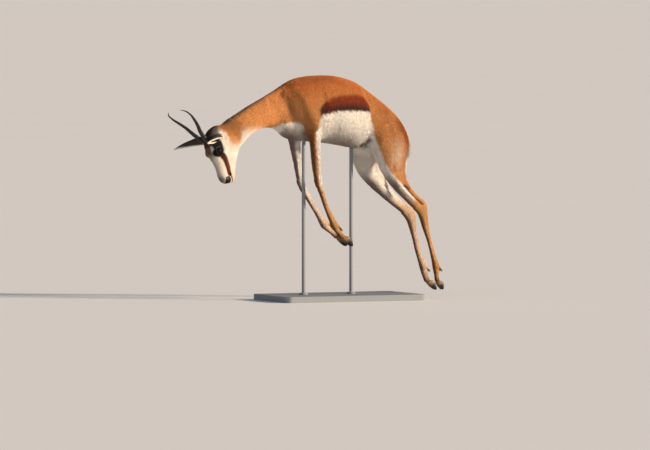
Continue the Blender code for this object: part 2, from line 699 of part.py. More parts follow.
def build_body():
    """Trunk, neck and legs as one skin, then parted into nodes."""
    shells = [
        lofted(flat_rows(TRUNK), 36),
        lofted(neck_rows(), 30),
        lofted(leg_rows(FORE_LEFT), 20),
        lofted(leg_rows(FORE_RIGHT), 20),
        lofted(leg_rows(HIND_LEFT), 24),
        lofted(leg_rows(HIND_RIGHT), 24),
    ]
    body = make_object("body", shells)
    melt(body, BODY_CELL)
    largest(body)
    places = read_points(body)
    soft = 0.25 + 0.75 * np.clip((places[:, 2] - 0.56) / 0.08, 0.0, 1.0)
    relax(body, 12)
    soften(body, 40, soft)
    raise_muscles(body)
    thin_out(body, BODY_TRIANGLES)
    cuts = [slab(middle, normal, (0.0, 1.0, 0.0), width, depth)
            for middle, normal, width, depth in PARTINGS]
    middle, normal = HEAD_PARTING
    block = half_space(middle, normal, 0.2, 0.3)
    subtract(body, make_object("partings", cuts))
    subtract(body, make_object("beyond_neck", [block]))
    feet = [half_space(*crown_plane(foot), 0.03, 0.05) for foot in HOOVES]
    subtract(body, make_object("beyond_feet", feet))
    made = {}
    parts = loose_parts(body)[:len(BODY_NODES) + 2]
    shells = [part_shell(body, numbers) for numbers in parts]
    for name, near, colour in BODY_NODES:
        gaps = [np.linalg.norm((shell[0].max(axis=0) + shell[0].min(axis=0)) / 2 - np.array(near))
                for shell in shells]
        made[name] = make_object(name, [shells[int(np.argmin(gaps))]])
        made[name].data.materials.append(material(colour))
    mesh = body.data
    bpy.data.objects.remove(body, do_unlink=True)
    bpy.data.meshes.remove(mesh)
    return made


def half_space(middle, normal, half_width, reach):
    """Block that starts half a gap before a plane and runs beyond it."""
    normal = np.array(normal) / np.linalg.norm(normal)
    points, faces = slab(middle, normal, (0.0, 1.0, 0.0), half_width, half_width)
    heights = (points - np.asarray(middle)) @ normal
    flat = points - heights[:, None] * normal
    ends = np.where(heights < 0, -PARTING_GAP / 2, reach)
    return flat + ends[:, None] * normal, faces


def crown_plane(foot):
    """Middle and downward normal of the plane between a leg and its hooves."""
    front, back, heel, tip, y = HOOVES[foot]
    along = np.array([back[0] - front[0], 0.0, back[1] - front[1]])
    normal = np.array([along[2], 0.0, -along[0]])
    normal = normal / np.linalg.norm(normal)
    middle = np.array([(front[0] + back[0]) / 2, y, (front[1] + back[1]) / 2])
    return middle - normal * 0.004, normal


def press_head(item):
    """Mouth line, lips, nostrils and the hollow before the eye."""
    places = read_points(item)
    normals = np.empty(len(item.data.vertices) * 3)
    item.data.vertices.foreach_get("normal", normals)
    normals = normals.reshape(-1, 3)
    local = places - HEAD_ORIGIN
    s, t, b = local @ NOSE, local @ BROW, local @ LEFT
    line = np.array(MOUTH)
    reach = np.full(len(places), 1.0)
    for start, end in zip(line[:-1], line[1:]):
        span = end - start
        share = np.clip(((s - start[0]) * span[0] + (t - start[1]) * span[1]) / (span @ span), 0, 1)
        reach = np.minimum(reach, np.hypot(s - start[0] - share * span[0],
                                           t - start[1] - share * span[1]))
    depth = -0.0028 * np.exp(-(reach / 0.0022)**2) * (s > 0.166)
    depth += 0.0010 * np.exp(-((reach - 0.0055) / 0.0030)**2) * (s > 0.170)
    ns, nt, nb = NOSTRIL
    hollow = ((s - ns) / 0.0060)**2 + ((t - nt) / 0.0045)**2 + ((np.abs(b) - nb) / 0.0060)**2
    depth += -0.0055 * np.exp(-hollow)
    rim = np.sqrt(hollow)
    depth += 0.0012 * np.exp(-((rim - 1.9) / 0.5)**2)
    write_points(item, places + depth[:, None] * normals)
    return item


def soften_head(item):
    """Blend cheeks and brows into the head, away from the lids and muzzle."""
    local = read_points(item) - HEAD_ORIGIN
    s, t, b = local @ NOSE, local @ BROW, local @ LEFT
    es, et, eb = EYE_MIDDLE
    away = np.sqrt((s - es)**2 + (t - et)**2 + (np.abs(b) - eb - 0.010)**2)
    near_eye = np.clip((away - 0.019) / 0.012, 0.0, 1.0)
    near_muzzle = np.clip((0.172 - s) / 0.02, 0.0, 1.0)
    soften(item, 45, near_eye * near_muzzle)


def lid(side, upper):
    """Rim of flesh along one lid, as a bent tube over the eyeball."""
    es, et, eb = EYE_MIDDLE
    rows = []
    for step in range(9):
        share = step / 8
        angle = math.pi * share
        tall = LID_RISE if upper else LID_DROP
        s = es + LID_REACH * math.cos(angle)
        t = et + (tall if upper else -tall) * math.sin(angle)
        away = math.hypot(s - es, t - et)
        height = math.sqrt(max((EYE_RADIUS + 0.0008)**2 - away**2, 0.00001))
        outward = head_point(s, t, side * (eb + height + 0.0021))
        inward = head_point(s, t, side * (eb + height - 0.0030))
        rows.append((*outward, *inward, *(BROW * math.sin(angle) + NOSE * math.cos(angle)),
                     0.0022, 0.5, 2.0, 2.0))
    return lofted(rows, 10, 2)


def build_head():
    """Head with orbits, cheeks, lids, mouth and nostrils."""
    shells = [lofted(head_rows(), 40), lofted(neck_rows()[4:], 30)]
    for side in (-1, 1):
        shells.append(head_ball(*ORBIT, side))
        shells.append(head_ball(*CHEEK, side))
        shells.append(lid(side, True))
        shells.append(lid(side, False))
        s, t, b = EAR_ROOT
        shells.append(head_ball((s, t + 0.002, b - 0.004), (0.021, 0.020, 0.014), side))
    head = make_object("head", shells)
    melt(head, HEAD_CELL)
    largest(head)
    relax(head, 8)
    soften_head(head)
    press_head(head)
    thin_out(head, HEAD_TRIANGLES)
    middle, normal = HEAD_PARTING
    block = half_space(middle, -np.array(normal), 0.2, 0.3)
    subtract(head, make_object("beyond_head", [block]))
    for side in (-1, 1):
        s, t, b = EYE_MIDDLE
        radius = EYE_RADIUS + PARTING_GAP
        subtract(head, make_object("socket", [head_ball((s, t, b), (radius,) * 3, side)]))
        opening = head_ball((s, t, b + 0.0172), LID_OPENING, side)
        subtract(head, make_object("opening", [opening]))
    largest(head)
    head.data.materials.append(material("coat_white"))
    return head


def build_eye(side):
    """Eyeball."""
    name = "eye_left" if side > 0 else "eye_right"
    eye = make_object(name, [head_ball(EYE_MIDDLE, (EYE_RADIUS,) * 3, side)])
    eye.data.materials.append(material("eye_dark"))
    return eye


def build_horn(side, head):
    """Ringed lyre-shaped horn."""
    name = "horn_left" if side > 0 else "horn_right"
    path = smooth_rows(HORN, 5)
    rings = []
    count = len(path)
    for index, (s, t, b, radius) in enumerate(path):
        here = head_point(s, t, side * b)
        low, high = path[max(index - 1, 0)], path[min(index + 1, count - 1)]
        along = (head_point(high[0], high[1], side * high[2])
                 - head_point(low[0], low[1], side * low[2]))
        along = along / np.linalg.norm(along)
        first = np.cross(along, NOSE)
        first = first / np.linalg.norm(first)
        second = np.cross(along, first)
        share = index / (count - 1)
        if share < 0.72:
            radius = radius + HORN_RING_RISE * math.cos(index * math.pi) * (1 - share)
        angles = np.linspace(0, 2 * math.pi, 8, endpoint=False)
        rings.append(here + radius * (np.cos(angles)[:, None] * first
                                      + np.sin(angles)[:, None] * second))
    horn = make_object(name, [tube(np.array(rings))])
    fit_against(horn, [head])
    horn.data.materials.append(material("horn_black"))
    return horn


def build_ear(side, head):
    """Leaf-shaped ear with an open cup."""
    name = "ear_left" if side > 0 else "ear_right"
    tip = EAR_TIP_LEFT if side > 0 else EAR_TIP_RIGHT
    root = head_point(EAR_ROOT[0], EAR_ROOT[1], side * EAR_ROOT[2])
    tip = head_point(tip[0], tip[1], side * tip[2])
    along = tip - root
    axis = along / np.linalg.norm(along)
    s, t, b = EAR_OPENING
    opening = s * NOSE + t * BROW + side * b * LEFT
    opening = opening - axis * (opening @ axis)
    opening = opening / np.linalg.norm(opening)
    across = np.cross(axis, opening)
    rows = smooth_rows(EAR_SPAN, 3)
    rows = rows[:-2] if rows[-1][1] < 0.001 else rows
    outer = []
    inner = []
    columns = 9
    for share, width, spread in rows:
        spread = math.radians(spread)
        radius = EAR_SCALE[side] * width / math.sin(min(spread, math.pi / 2))
        angles = np.linspace(-spread, spread, columns)
        forward = radius * (math.cos(spread) * 0.35 + EAR_FORWARD[side])
        middle = root + along * share + opening * forward
        thick = min(EAR_THICKNESS, radius * 0.6)
        ring = -np.cos(angles)[:, None] * opening + np.sin(angles)[:, None] * across
        outer.append(middle + ring * radius)
        inner.append(middle + ring * (radius - thick))
    rings = [np.vstack([one, two[::-1]]) for one, two in zip(outer, inner)]
    ear = make_object(name, [tube(np.array(rings))])
    fit_against(ear, [head])
    ear.data.materials.append(material("coat_tawny"))
    return ear


def build_claw(foot, offset, name):
    """One half of a cloven hoof."""
    front, back, heel, tip, y = HOOVES[foot]
    y = y + offset
    rows = []
    for share in (-0.30, 0.0, 0.35, 0.70, 1.0):
        xf = front[0] + (tip[0] - front[0]) * share
        zf = front[1] + (tip[1] - front[1]) * share
        xb = back[0] + (heel[0] - back[0]) * share
        zb = back[1] + (heel[1] - back[1]) * share
        width = CLAW_HALF_WIDTH * (0.92 + 0.16 * math.sin(math.pi * max(share, 0.0) * 0.8))
        rows.append((xf, y, zf, xb, y, zb, 0, 1, 0, width, 0.35, 1.7, 2.4))
    claw = make_object(name, [lofted(rows, 10, 1)])
    middle, normal = crown_plane(foot)
    subtract(claw, make_object("above", [half_space(middle, -normal, 0.05, 0.05)]))
    claw.data.materials.append(material("hoof_black"))
    return claw


def build_dewclaw(foot, offset, name, leg):
    """Small claw behind the fetlock."""
    root, tip, y = DEWCLAWS[foot]
    rows = []
    for share, size in ((0.0, 0.0042), (0.4, 0.0046), (0.8, 0.0034), (1.0, 0.0014)):
        x = root[0] + (tip[0] - root[0]) * share
        z = root[1] + (tip[1] - root[1]) * share
        across = np.array([tip[1] - root[1], 0, root[0] - tip[0]])
        across = across / np.linalg.norm(across) * size
        place = np.array([x, y + offset, z])
        rows.append((*(place + across), *(place - across), 0, 1, 0, size * 0.8, 0.5, 2.0, 2.0))
    claw = make_object(name, [lofted(rows, 6, 1)])
    fit_against(claw, [leg])
    claw.data.materials.append(material("hoof_black"))
    return claw


def lock(root, tip, bow, width, thick):
    """Flat tapered lock of hair as a closed shell, bowed to one side."""
    root, tip, bow = np.asarray(root), np.asarray(tip), np.asarray(bow)
    axis = (tip - root) / np.linalg.norm(tip - root)
    rise = bow - axis * (bow @ axis)
    rise = rise / np.linalg.norm(rise)
    side = np.cross(axis, rise)
    rows = []
    for share, wide in ((0.0, 0.75), (0.3, 1.0), (0.65, 0.75), (1.0, 0.16)):
        place = root + (tip - root) * share + rise * 0.004 * math.sin(math.pi * share)
        rows.append((*(place + rise * thick * (1 - 0.6 * share)),
                     *(place - rise * thick * (1 - 0.6 * share)), *side,
                     width * wide, 0.5, 2.0, 2.0))
    return lofted(rows, 8, 2)


def build_crest(near):
    """Long hair that lies folded along the middle of the rump."""
    random = np.random.default_rng(SEED)
    line = smooth_rows(CREST, 8)
    shells = []
    for index in range(CREST_LOCKS):
        place = int(index / (CREST_LOCKS - 1) * (len(line) - 9))
        x, z = line[place]
        ahead_x, ahead_z = line[min(place + 8, len(line) - 1)]
        along = np.array([ahead_x - x, 0, ahead_z - z])
        along = along / np.linalg.norm(along)
        out = np.array([-along[2], 0, along[0]])
        out = out if out[0] > 0 else -out
        sway = random.uniform(-0.006, 0.006)
        root = np.array([x, sway * 0.6, z]) - out * 0.003
        length = 0.060 + random.uniform(-0.006, 0.006)
        tip = root + along * length + out * 0.0085 + np.array([0, sway, 0])
        shells.append(lock(root, tip, out, 0.0125, 0.0042))
    crest = make_object("rump_crest", shells)
    melt(crest, 0.0022)
    largest(crest)
    relax(crest, 4)
    thin_out(crest, 520)
    fit_against(crest, near)
    crest.data.materials.append(material("coat_white"))
    return crest


def build_tail(near):
    """Thin tail pressed between the thighs."""
    rows = []
    for x, z, width, thick in TAIL:
        rows.append((x + thick, 0, z, x - thick, 0, z, 0, 1, 0, width, 0.5, 2.0, 2.0))
    tail = make_object("tail", [lofted(rows, 10, 1)])
    fit_against(tail, near)
    tail.data.materials.append(material("coat_white"))
    return tail


def build_tuft(near):
    """Dark tuft at the end of the tail."""
    random = np.random.default_rng(SEED + 1)
    shells = []
    x, z = TAIL[-2][0], TAIL[-2][1] - 0.004
    for index in range(TUFT_LOCKS):
        angle = 2 * math.pi * index / TUFT_LOCKS
        outward = np.array([math.cos(angle), math.sin(angle), 0])
        root = np.array([x, 0, z]) + outward * 0.0045
        drop = 0.075 + random.uniform(-0.012, 0.010)
        tip = root + np.array([0.004, 0, -drop]) + outward * random.uniform(-0.002, 0.004)
        shells.append(lock(root, tip, outward, 0.0070, 0.0035))
    tuft = make_object("tail_tuft", shells)
    melt(tuft, 0.0020)
    largest(tuft)
    relax(tuft, 4)
    thin_out(tuft, 300)
    fit_against(tuft, near)
    tuft.data.materials.append(material("hair_dark"))
    return tuft


def build_base():
    """Flat plate of the stand with a small bevel."""
    mesh = bpy.data.meshes.new("stand_base")
    work = bmesh.new()
    bmesh.ops.create_cube(work, size=1.0)
    for vertex in work.verts:
        vertex.co = Vector((BASE_MIDDLE_X + vertex.co.x * BASE_LENGTH, vertex.co.y * BASE_WIDTH,
                            (vertex.co.z + 0.5) * BASE_HEIGHT))
    upper = [edge for edge in work.edges
             if abs(edge.verts[0].co.x - edge.verts[1].co.x) < 1e-6
             and abs(edge.verts[0].co.y - edge.verts[1].co.y) < 1e-6]
    bmesh.ops.bevel(work, geom=upper, offset=0.02, segments=4, profile=0.5, affect="EDGES")
    work.to_mesh(mesh)
    work.free()
    base = bpy.data.objects.new("stand_base", mesh)
    bpy.context.collection.objects.link(base)
    base.data.materials.append(material("stand_grey"))
    return base


def build_rod(name, x, near):
    """Upright rod from the plate to the body."""
    angles = np.linspace(0, 2 * math.pi, 20, endpoint=False)
    rings = []
    for z in (BASE_HEIGHT + PARTING_GAP, 0.3, 0.5, ROD_TOP):
        ring = np.column_stack([x + ROD_RADIUS * np.cos(angles), ROD_RADIUS * np.sin(angles),
                                np.full(20, z)])
        rings.append(ring)
    rod = make_object(name, [tube(np.array(rings))])
    fit_against(rod, near)
    rod.data.materials.append(material("stand_grey"))
    return rod


def centre_on_floor(items):
    """Put the middle of the whole model's bounding box on the origin."""
    low = np.min([read_points(item).min(axis=0) for item in items], axis=0)
    high = np.max([read_points(item).max(axis=0) for item in items], axis=0)
    shift = np.array([-(low[0] + high[0]) / 2, -(low[1] + high[1]) / 2, -low[2]])
    for item in items:
        write_points(item, read_points(item) + shift)
    return shift


def build():
    """Whole model."""
    clear()
    body = build_body()
    head = build_head()
    items = list(body.values()) + [head]
    for side in (-1, 1):
        items.append(build_eye(side))
        items.append(build_horn(side, head))
        items.append(build_ear(side, head))
    for foot in HOOVES:
        leg = body[foot.replace("_", "_lower_")]
        for letter, offset in (("inner", 1), ("outer", -1)):
            sign = offset if HOOVES[foot][4] < 0 else -offset
            claw = build_claw(foot, sign * CLAW_OFFSET, f"hoof_{foot}_{letter}")
            small = build_dewclaw(foot, sign * 0.0085, f"dewclaw_{foot}_{letter}", leg)
            items.extend([claw, small])
    torso = body["torso"]
    thighs = [torso, body["hind_upper_left"], body["hind_upper_right"]]
    crest = build_crest(thighs)
    tail = build_tail(thighs + [crest])
    tuft = build_tuft(thighs + [tail])
    items.extend([crest, tail, tuft])
    items.append(build_base())
    items.append(build_rod("stand_rod_front", ROD_FRONT_X, [torso]))
    items.append(build_rod("stand_rod_rear", ROD_REAR_X, [torso]))
    for item in items:
        clean(item)
        largest(item)
    centre_on_floor(items)


build()
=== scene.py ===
# Looks of a life-size springbok in a stiff-legged leap, held by a plain display stand.
# Metres, +Z up, facing -X, left side towards -Y.
import math

import bmesh
import bpy
import numpy as np
from bpy.props import FloatProperty, FloatVectorProperty, IntProperty, PointerProperty
from mathutils import Matrix, Vector
from mathutils.bvhtree import BVHTree


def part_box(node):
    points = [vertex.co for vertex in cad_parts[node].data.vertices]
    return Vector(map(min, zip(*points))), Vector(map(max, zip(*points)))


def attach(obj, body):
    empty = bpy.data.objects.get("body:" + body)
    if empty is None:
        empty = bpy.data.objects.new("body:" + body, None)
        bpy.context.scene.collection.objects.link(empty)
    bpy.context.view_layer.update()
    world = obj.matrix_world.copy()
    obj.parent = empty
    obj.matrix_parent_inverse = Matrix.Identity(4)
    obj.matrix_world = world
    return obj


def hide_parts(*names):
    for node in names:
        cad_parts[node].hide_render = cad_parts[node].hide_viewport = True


bl_info = {
    "name": "Leaping Springbok",
    "version": (1, 0, 0),
    "blender": (4, 5, 0),
    "location": "3D View > Sidebar > Springbok",
    "description": "Skin, coat, horns, hooves, eyes and stand of a life-size springbok",
    "category": "Object",
}

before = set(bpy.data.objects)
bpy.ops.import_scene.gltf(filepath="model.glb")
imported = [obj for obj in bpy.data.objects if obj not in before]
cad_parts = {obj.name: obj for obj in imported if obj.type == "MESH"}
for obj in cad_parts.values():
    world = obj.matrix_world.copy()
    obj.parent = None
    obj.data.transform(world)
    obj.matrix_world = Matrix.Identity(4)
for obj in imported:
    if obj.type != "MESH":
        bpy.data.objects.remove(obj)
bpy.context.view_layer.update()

# The solids were drawn round their own middle and then set on the floor.
BASE_LOW, BASE_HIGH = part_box("stand_base")
DRAWN_BASE_MIDDLE = 0.02
SHIFT = np.array([(BASE_LOW.x + BASE_HIGH.x) / 2 - DRAWN_BASE_MIDDLE,
                  (BASE_LOW.y + BASE_HIGH.y) / 2, 0.0])

# The head has its own frame: s runs from poll to nose, t towards the brow,
# b towards the animal's left.
HEAD_ORIGIN = np.array([-0.5144, 0.0, 0.7062])
HEAD_TURN = math.radians(5.0)
HEAD_ROLL = math.radians(8.0)
HEAD_PITCH = math.radians(5.0)
EYE_MIDDLE = (0.0736, 0.0562, 0.0355)
EYE_RADIUS = 0.0170
LID_REACH = 0.0162
LID_RISE = 0.0128
LID_DROP = 0.0118
MOUTH = [(0.172, 0.0100), (0.186, 0.0025), (0.200, -0.0005), (0.220, 0.0000)]
NOSTRIL = [(0.2040, 0.0200, 0.0085), (0.2010, 0.0250, 0.0130), (0.1950, 0.0300, 0.0165)]
EAR_ROOT = (0.012, 0.036, 0.038)
EAR_TIPS = {1: (0.043, 0.166, 0.150), -1: (0.037, 0.160, 0.150)}
EAR_OPENING = (0.92, -0.33, 0.22)
EAR_FORWARD = {1: 0.50, -1: 0.25}
EAR_SCALE = {1: 1.0, -1: 1.12}
# Cross sections of an ear: share of its length, half width, half angle of the cup
EAR_SPAN = [(0.00, 0.0120, 158.0), (0.12, 0.0150, 146.0), (0.28, 0.0205, 108.0), (0.48, 0.0235, 78.0),
            (0.70, 0.0195, 62.0), (0.88, 0.0110, 50.0), (1.00, 0.0022, 42.0)]

# Horn path in the head's frame: s, t, b, radius
HORN = [
    (0.034, 0.062, 0.0168, 0.0108),
    (0.030, 0.074, 0.0175, 0.0106),
    (0.0190, 0.0975, 0.0195, 0.0098),
    (-0.0115, 0.1250, 0.0330, 0.0080),
    (-0.0415, 0.1450, 0.0510, 0.0065),
    (-0.0653, 0.1660, 0.0675, 0.0054),
    (-0.0850, 0.1850, 0.0785, 0.0044),
    (-0.1020, 0.2035, 0.0750, 0.0032),
    (-0.1125, 0.2165, 0.0510, 0.0012),
]

# Lines of bones that the coat and the forms of the legs follow: points (x, y, z) to the foot
LINES = {
    "neck": [(-0.505, 0.0, 0.728), (-0.395, 0.0, 0.765), (-0.285, 0.0, 0.810), (-0.200, 0.0, 0.820)],
    "trunk": [(-0.200, 0.0, 0.820), (-0.050, 0.0, 0.810), (0.080, 0.0, 0.790), (0.180, 0.0, 0.745),
              (0.270, 0.0, 0.690), (0.315, 0.0, 0.640)],
    "fore_left": [(-0.185, -0.055, 0.830), (-0.125, -0.066, 0.700), (-0.104, -0.058, 0.487),
                  (-0.020, -0.046, 0.310), (0.021, -0.043, 0.258)],
    "fore_right": [(-0.205, 0.055, 0.830), (-0.158, 0.066, 0.700), (-0.129, 0.058, 0.480),
                   (-0.026, 0.046, 0.315), (0.036, 0.043, 0.262)],
    "hind_left": [(0.225, -0.052, 0.760), (0.180, -0.062, 0.640), (0.372, -0.058, 0.390),
                  (0.448, -0.047, 0.133), (0.459, -0.045, 0.067)],
    "hind_right": [(0.190, 0.052, 0.760), (0.145, 0.062, 0.630), (0.372, 0.057, 0.352),
                   (0.436, 0.047, 0.127), (0.457, 0.045, 0.064)],
}
LEGS = ("fore_left", "fore_right", "hind_left", "hind_right")
# Furthest that the surface lies from the line of a lower leg and from the axis of an ear
LEG_REACH = 0.035
EAR_REACH = 0.045
# The head lies before this x
HEAD_END = -0.40
# The far legs are set this much further ahead than the near ones
FAR_HIND_SHIFT = 0.028
FAR_FORE_SHIFT = 0.024
# The head is cut from the neck across its line, and the lower legs at one height
NECK_CUT = (-0.440, 0.0, 0.745)
NECK_CUT_AHEAD = (-0.8, 0.0, -0.6)
LEG_CUT_HEIGHT = 0.470

# Edges of the markings in side view: (x, z)
BAND_LOWER = [(-0.130, 0.765), (-0.116, 0.775), (-0.095, 0.787), (-0.044, 0.798), (0.004, 0.8005),
              (0.054, 0.799), (0.120, 0.794)]
BAND_UPPER = [(-0.118, 0.812), (-0.103, 0.829), (-0.064, 0.853), (-0.0285, 0.862), (0.012, 0.866),
              (0.049, 0.8675), (0.080, 0.861), (0.103, 0.845), (0.117, 0.822), (0.122, 0.800)]
THIGH_EDGE = [(0.335, 0.425), (0.290, 0.470), (0.240, 0.512), (0.209, 0.544), (0.184, 0.581),
              (0.162, 0.627), (0.147, 0.672), (0.136, 0.709), (0.1215, 0.7545), (0.115, 0.795)]
BRISKET_EDGE = [(-0.303, 0.730), (-0.287, 0.735), (-0.270, 0.743), (-0.252, 0.752), (-0.2185, 0.756),
                (-0.196, 0.750), (-0.177, 0.7295), (-0.161, 0.702)]
FORELEG_EDGE = [(0.030, 0.240), (-0.014, 0.310), (-0.062, 0.400), (-0.108, 0.490), (-0.114, 0.557),
                (-0.118, 0.602), (-0.127, 0.666), (-0.135, 0.720), (-0.124, 0.757), (-0.111, 0.784)]
# Lower edge of the grey down the nape, partly darker coat and partly painted shade: (x, z)
NAPE_LINE = [(-0.525, 0.738), (-0.495, 0.749), (-0.435, 0.788), (-0.375, 0.825), (-0.300, 0.880)]
# How much further ahead the far foreleg is at each height: (z, x)
FAR_FORELEG_SHIFT = [(0.24, -0.012), (0.31, 0.006), (0.48, 0.025), (0.72, 0.033)]
# Painted shadow in the fold where the hind leg meets the belly: (x, z)
GROIN_SHADOW_LINE = [(0.128, 0.676), (0.119, 0.657), (0.100, 0.649)]
# Painted shade along the creases of the hind leg: points (x, z), strength and half width
LEG_CREASE_SHADE = [
    ([(0.222, 0.572), (0.228, 0.548)], 0.45, 0.0055),
    ([(0.279, 0.483), (0.303, 0.470)], 0.85, 0.0090),
    ([(0.286, 0.474), (0.325, 0.438), (0.372, 0.400)], 0.70, 0.0055),
]
# Half width of the white rump patch at each height: (z, y)
RUMP_HALF_WIDTH = [(0.46, 0.010), (0.52, 0.030), (0.58, 0.044), (0.64, 0.047), (0.69, 0.044),
                   (0.72, 0.046), (0.752, 0.030), (0.80, 0.012), (0.84, 0.007)]
# Edge between tawny neck and white face in the head's frame: (t, s)
NAPE_EDGE = [(-0.080, 0.036), (-0.068, 0.046), (-0.050, 0.052), (-0.030, 0.050), (-0.012, 0.044),
             (0.004, 0.024), (0.009, 0.008), (0.023, 0.001), (0.031, -0.008), (0.045, -0.016)]
# Middle of the face stripe and of the black round the eye: (s, t)
CHEEK_STRIPE = [(0.0880, 0.0460), (0.1075, 0.0290), (0.1280, 0.0200), (0.1470, 0.0145),
                (0.1650, 0.0120), (0.1740, 0.0100)]
STRIPE_HALF_WIDTH = 0.0118
EYE_PATCH = [(0.0460, 0.0600), (0.0690, 0.0525), (0.0760, 0.0545), (0.0790, 0.0590)]

# Forms of the face in the head's frame: points (s, t), rise and half width
FACE_FORMS = [
    ([(0.0955, 0.0500), (0.1060, 0.0440)], -0.0018, 0.0022),
    ([(0.092, 0.030), (0.055, 0.018), (0.020, 0.012)], 0.0022, 0.007),
    ([(0.030, -0.040), (0.075, -0.034), (0.120, -0.018)], -0.0016, 0.010),
]
# Muscles, hollows and folds in side view: points (x, z), rise and half width
BODY_FORMS = [
    ([(-0.205, 0.905), (-0.172, 0.825), (-0.140, 0.745)], 0.0075, 0.021),
    ([(-0.325, 0.868), (-0.305, 0.815), (-0.280, 0.765)], -0.0110, 0.034),
    ([(-0.282, 0.890), (-0.252, 0.815), (-0.228, 0.750)], -0.0115, 0.028),
    ([(-0.098, 0.900), (-0.094, 0.845), (-0.100, 0.795)], -0.0035, 0.013),
    ([(-0.118, 0.765), (-0.128, 0.728)], 0.0030, 0.012),
    ([(-0.165, 0.735), (-0.150, 0.705)], -0.0025, 0.010),
    ([(0.108, 0.880), (0.116, 0.800), (0.118, 0.715)], -0.0050, 0.014),
    ([(0.150, 0.875), (0.190, 0.840), (0.225, 0.800)], 0.0035, 0.017),
    ([(0.190, 0.790), (0.172, 0.720), (0.160, 0.650)], 0.0035, 0.018),
    ([(0.205, 0.740), (0.214, 0.660), (0.222, 0.575), (0.232, 0.535)], -0.0035, 0.010),
    ([(0.262, 0.720), (0.272, 0.640), (0.262, 0.565)], 0.0035, 0.018),
    ([(0.245, 0.500), (0.285, 0.462), (0.330, 0.425)], 0.0022, 0.010),
    ([(0.283, 0.478), (0.325, 0.440), (0.376, 0.398)], -0.0075, 0.0062),
    ([(0.128, 0.690), (0.119, 0.657), (0.098, 0.646)], -0.0060, 0.0085),
    ([(-0.130, 0.690), (-0.118, 0.610), (-0.112, 0.530)], -0.0016, 0.0060),
]
RIB_TOPS = [-0.068, -0.040, -0.012, 0.016, 0.044, 0.070]

# Hooves: front and back of the crown, heel and tip as (x, z), then y
HOOVES = {
    "fore_left": ((0.003, 0.253), (0.041, 0.269), (0.053, 0.258), (0.061, 0.223), -0.043),
    "fore_right": ((0.020, 0.252), (0.053, 0.275), (0.069, 0.257), (0.073, 0.220), 0.043),
    "hind_left": ((0.443, 0.066), (0.475, 0.074), (0.481, 0.060), (0.480, 0.034), -0.045),
    "hind_right": ((0.441, 0.061), (0.474, 0.073), (0.487, 0.057), (0.494, 0.029), 0.045),
}
CLAW_OFFSET = 0.0088
CLAW_HALF_WIDTH = 0.0076

# Dewclaws: root and tip as (x, z), then y of the pair's middle
DEWCLAWS = {
    "fore_left": ((-0.004, 0.308), (0.010, 0.291), -0.046),
    "fore_right": ((-0.008, 0.315), (0.009, 0.302), 0.046),
    "hind_left": ((0.462, 0.131), (0.474, 0.114), -0.047),
    "hind_right": ((0.450, 0.124), (0.464, 0.110), 0.047),
}
DEWCLAW_OFFSET = 0.0085
DEWCLAW_RADIUS = 0.0033

# Ridge of the rump crest (x, z) and end of the tail
CREST = [(0.262, 0.795), (0.302, 0.749), (0.330, 0.704), (0.344, 0.668), (0.346, 0.637), (0.338, 0.612)]
TAIL_END = (0.3205, 0.0, 0.506)

FLESH = ["torso", "neck", "head", "ear_left", "ear_right", "tail"]
FLESH += [f"{end}_{height}_{side}" for end in ("fore", "hind") for height in ("upper", "lower")
          for side in ("left", "right")]
SEED = 20
LARGEST_COAT_PIECE = 32000
UP = np.array([0.0, 0.0, 1.0])
SIDEWAYS = np.array([0.0, 1.0, 0.0])


def linear(code):
    """Linear RGB of an sRGB hex colour."""
    parts = [int(code[index:index + 2], 16) / 255 for index in (1, 3, 5)]
    return tuple(part / 12.92 if part <= 0.04045 else ((part + 0.055) / 1.055)**2.4
                 for part in parts)


def unit(vectors):
    """Vectors scaled to length one."""
    length = np.linalg.norm(vectors, axis=-1, keepdims=True)
    return vectors / np.maximum(length, 1e-12)


def head_axes():
    """Unit vectors towards the nose, the brow and the left ear."""
    ahead = np.array([-math.cos(HEAD_TURN), -math.sin(HEAD_TURN), 0.0])
    level_left = np.array([math.sin(HEAD_TURN), -math.cos(HEAD_TURN), 0.0])
    left = level_left * math.cos(HEAD_ROLL) + UP * math.sin(HEAD_ROLL)
    crown = UP * math.cos(HEAD_ROLL) - level_left * math.sin(HEAD_ROLL)
    nose = -math.sin(HEAD_PITCH) * ahead - math.cos(HEAD_PITCH) * crown
    brow = math.cos(HEAD_PITCH) * ahead - math.sin(HEAD_PITCH) * crown
    return nose, brow, left


NOSE, BROW, LEFT = head_axes()


def head_point(s, t, b):
    """World place of points given in the head's own frame."""
    s, t, b = (np.asarray(part, dtype=float)[..., None] for part in (s, t, b))
    return HEAD_ORIGIN + SHIFT + s * NOSE + t * BROW + b * LEFT


def head_frame(places):
    """Head-frame s, t, b of world places."""
    local = places - HEAD_ORIGIN - SHIFT
    return local @ NOSE, local @ BROW, local @ LEFT


def smoothstep(low, high, values):
    """0 at low and before, 1 at high and beyond, smooth between them, also where high is less."""
    share = np.clip((values - low) / (high - low), 0.0, 1.0)
    return share * share * (3 - 2 * share)


def bell(distance, width):
    """Bell curve: 1 at distance 0, falling as e to the power minus the square of distance by width."""
    return np.exp(-(distance / width)**2)


def turns(count):
    """Evenly spaced angles round a full turn."""
    return np.linspace(0, 2 * math.pi, count, endpoint=False)


def along_skin(directions, normals):
    """Part of each direction that lies along the skin."""
    return directions - normals * (directions * normals).sum(axis=1, keepdims=True)


def edge_at(line, values, given=0):
    """Other coordinate of an edge line at values of the given one."""
    line = np.array(line)
    return np.interp(values, line[:, given], line[:, 1 - given])


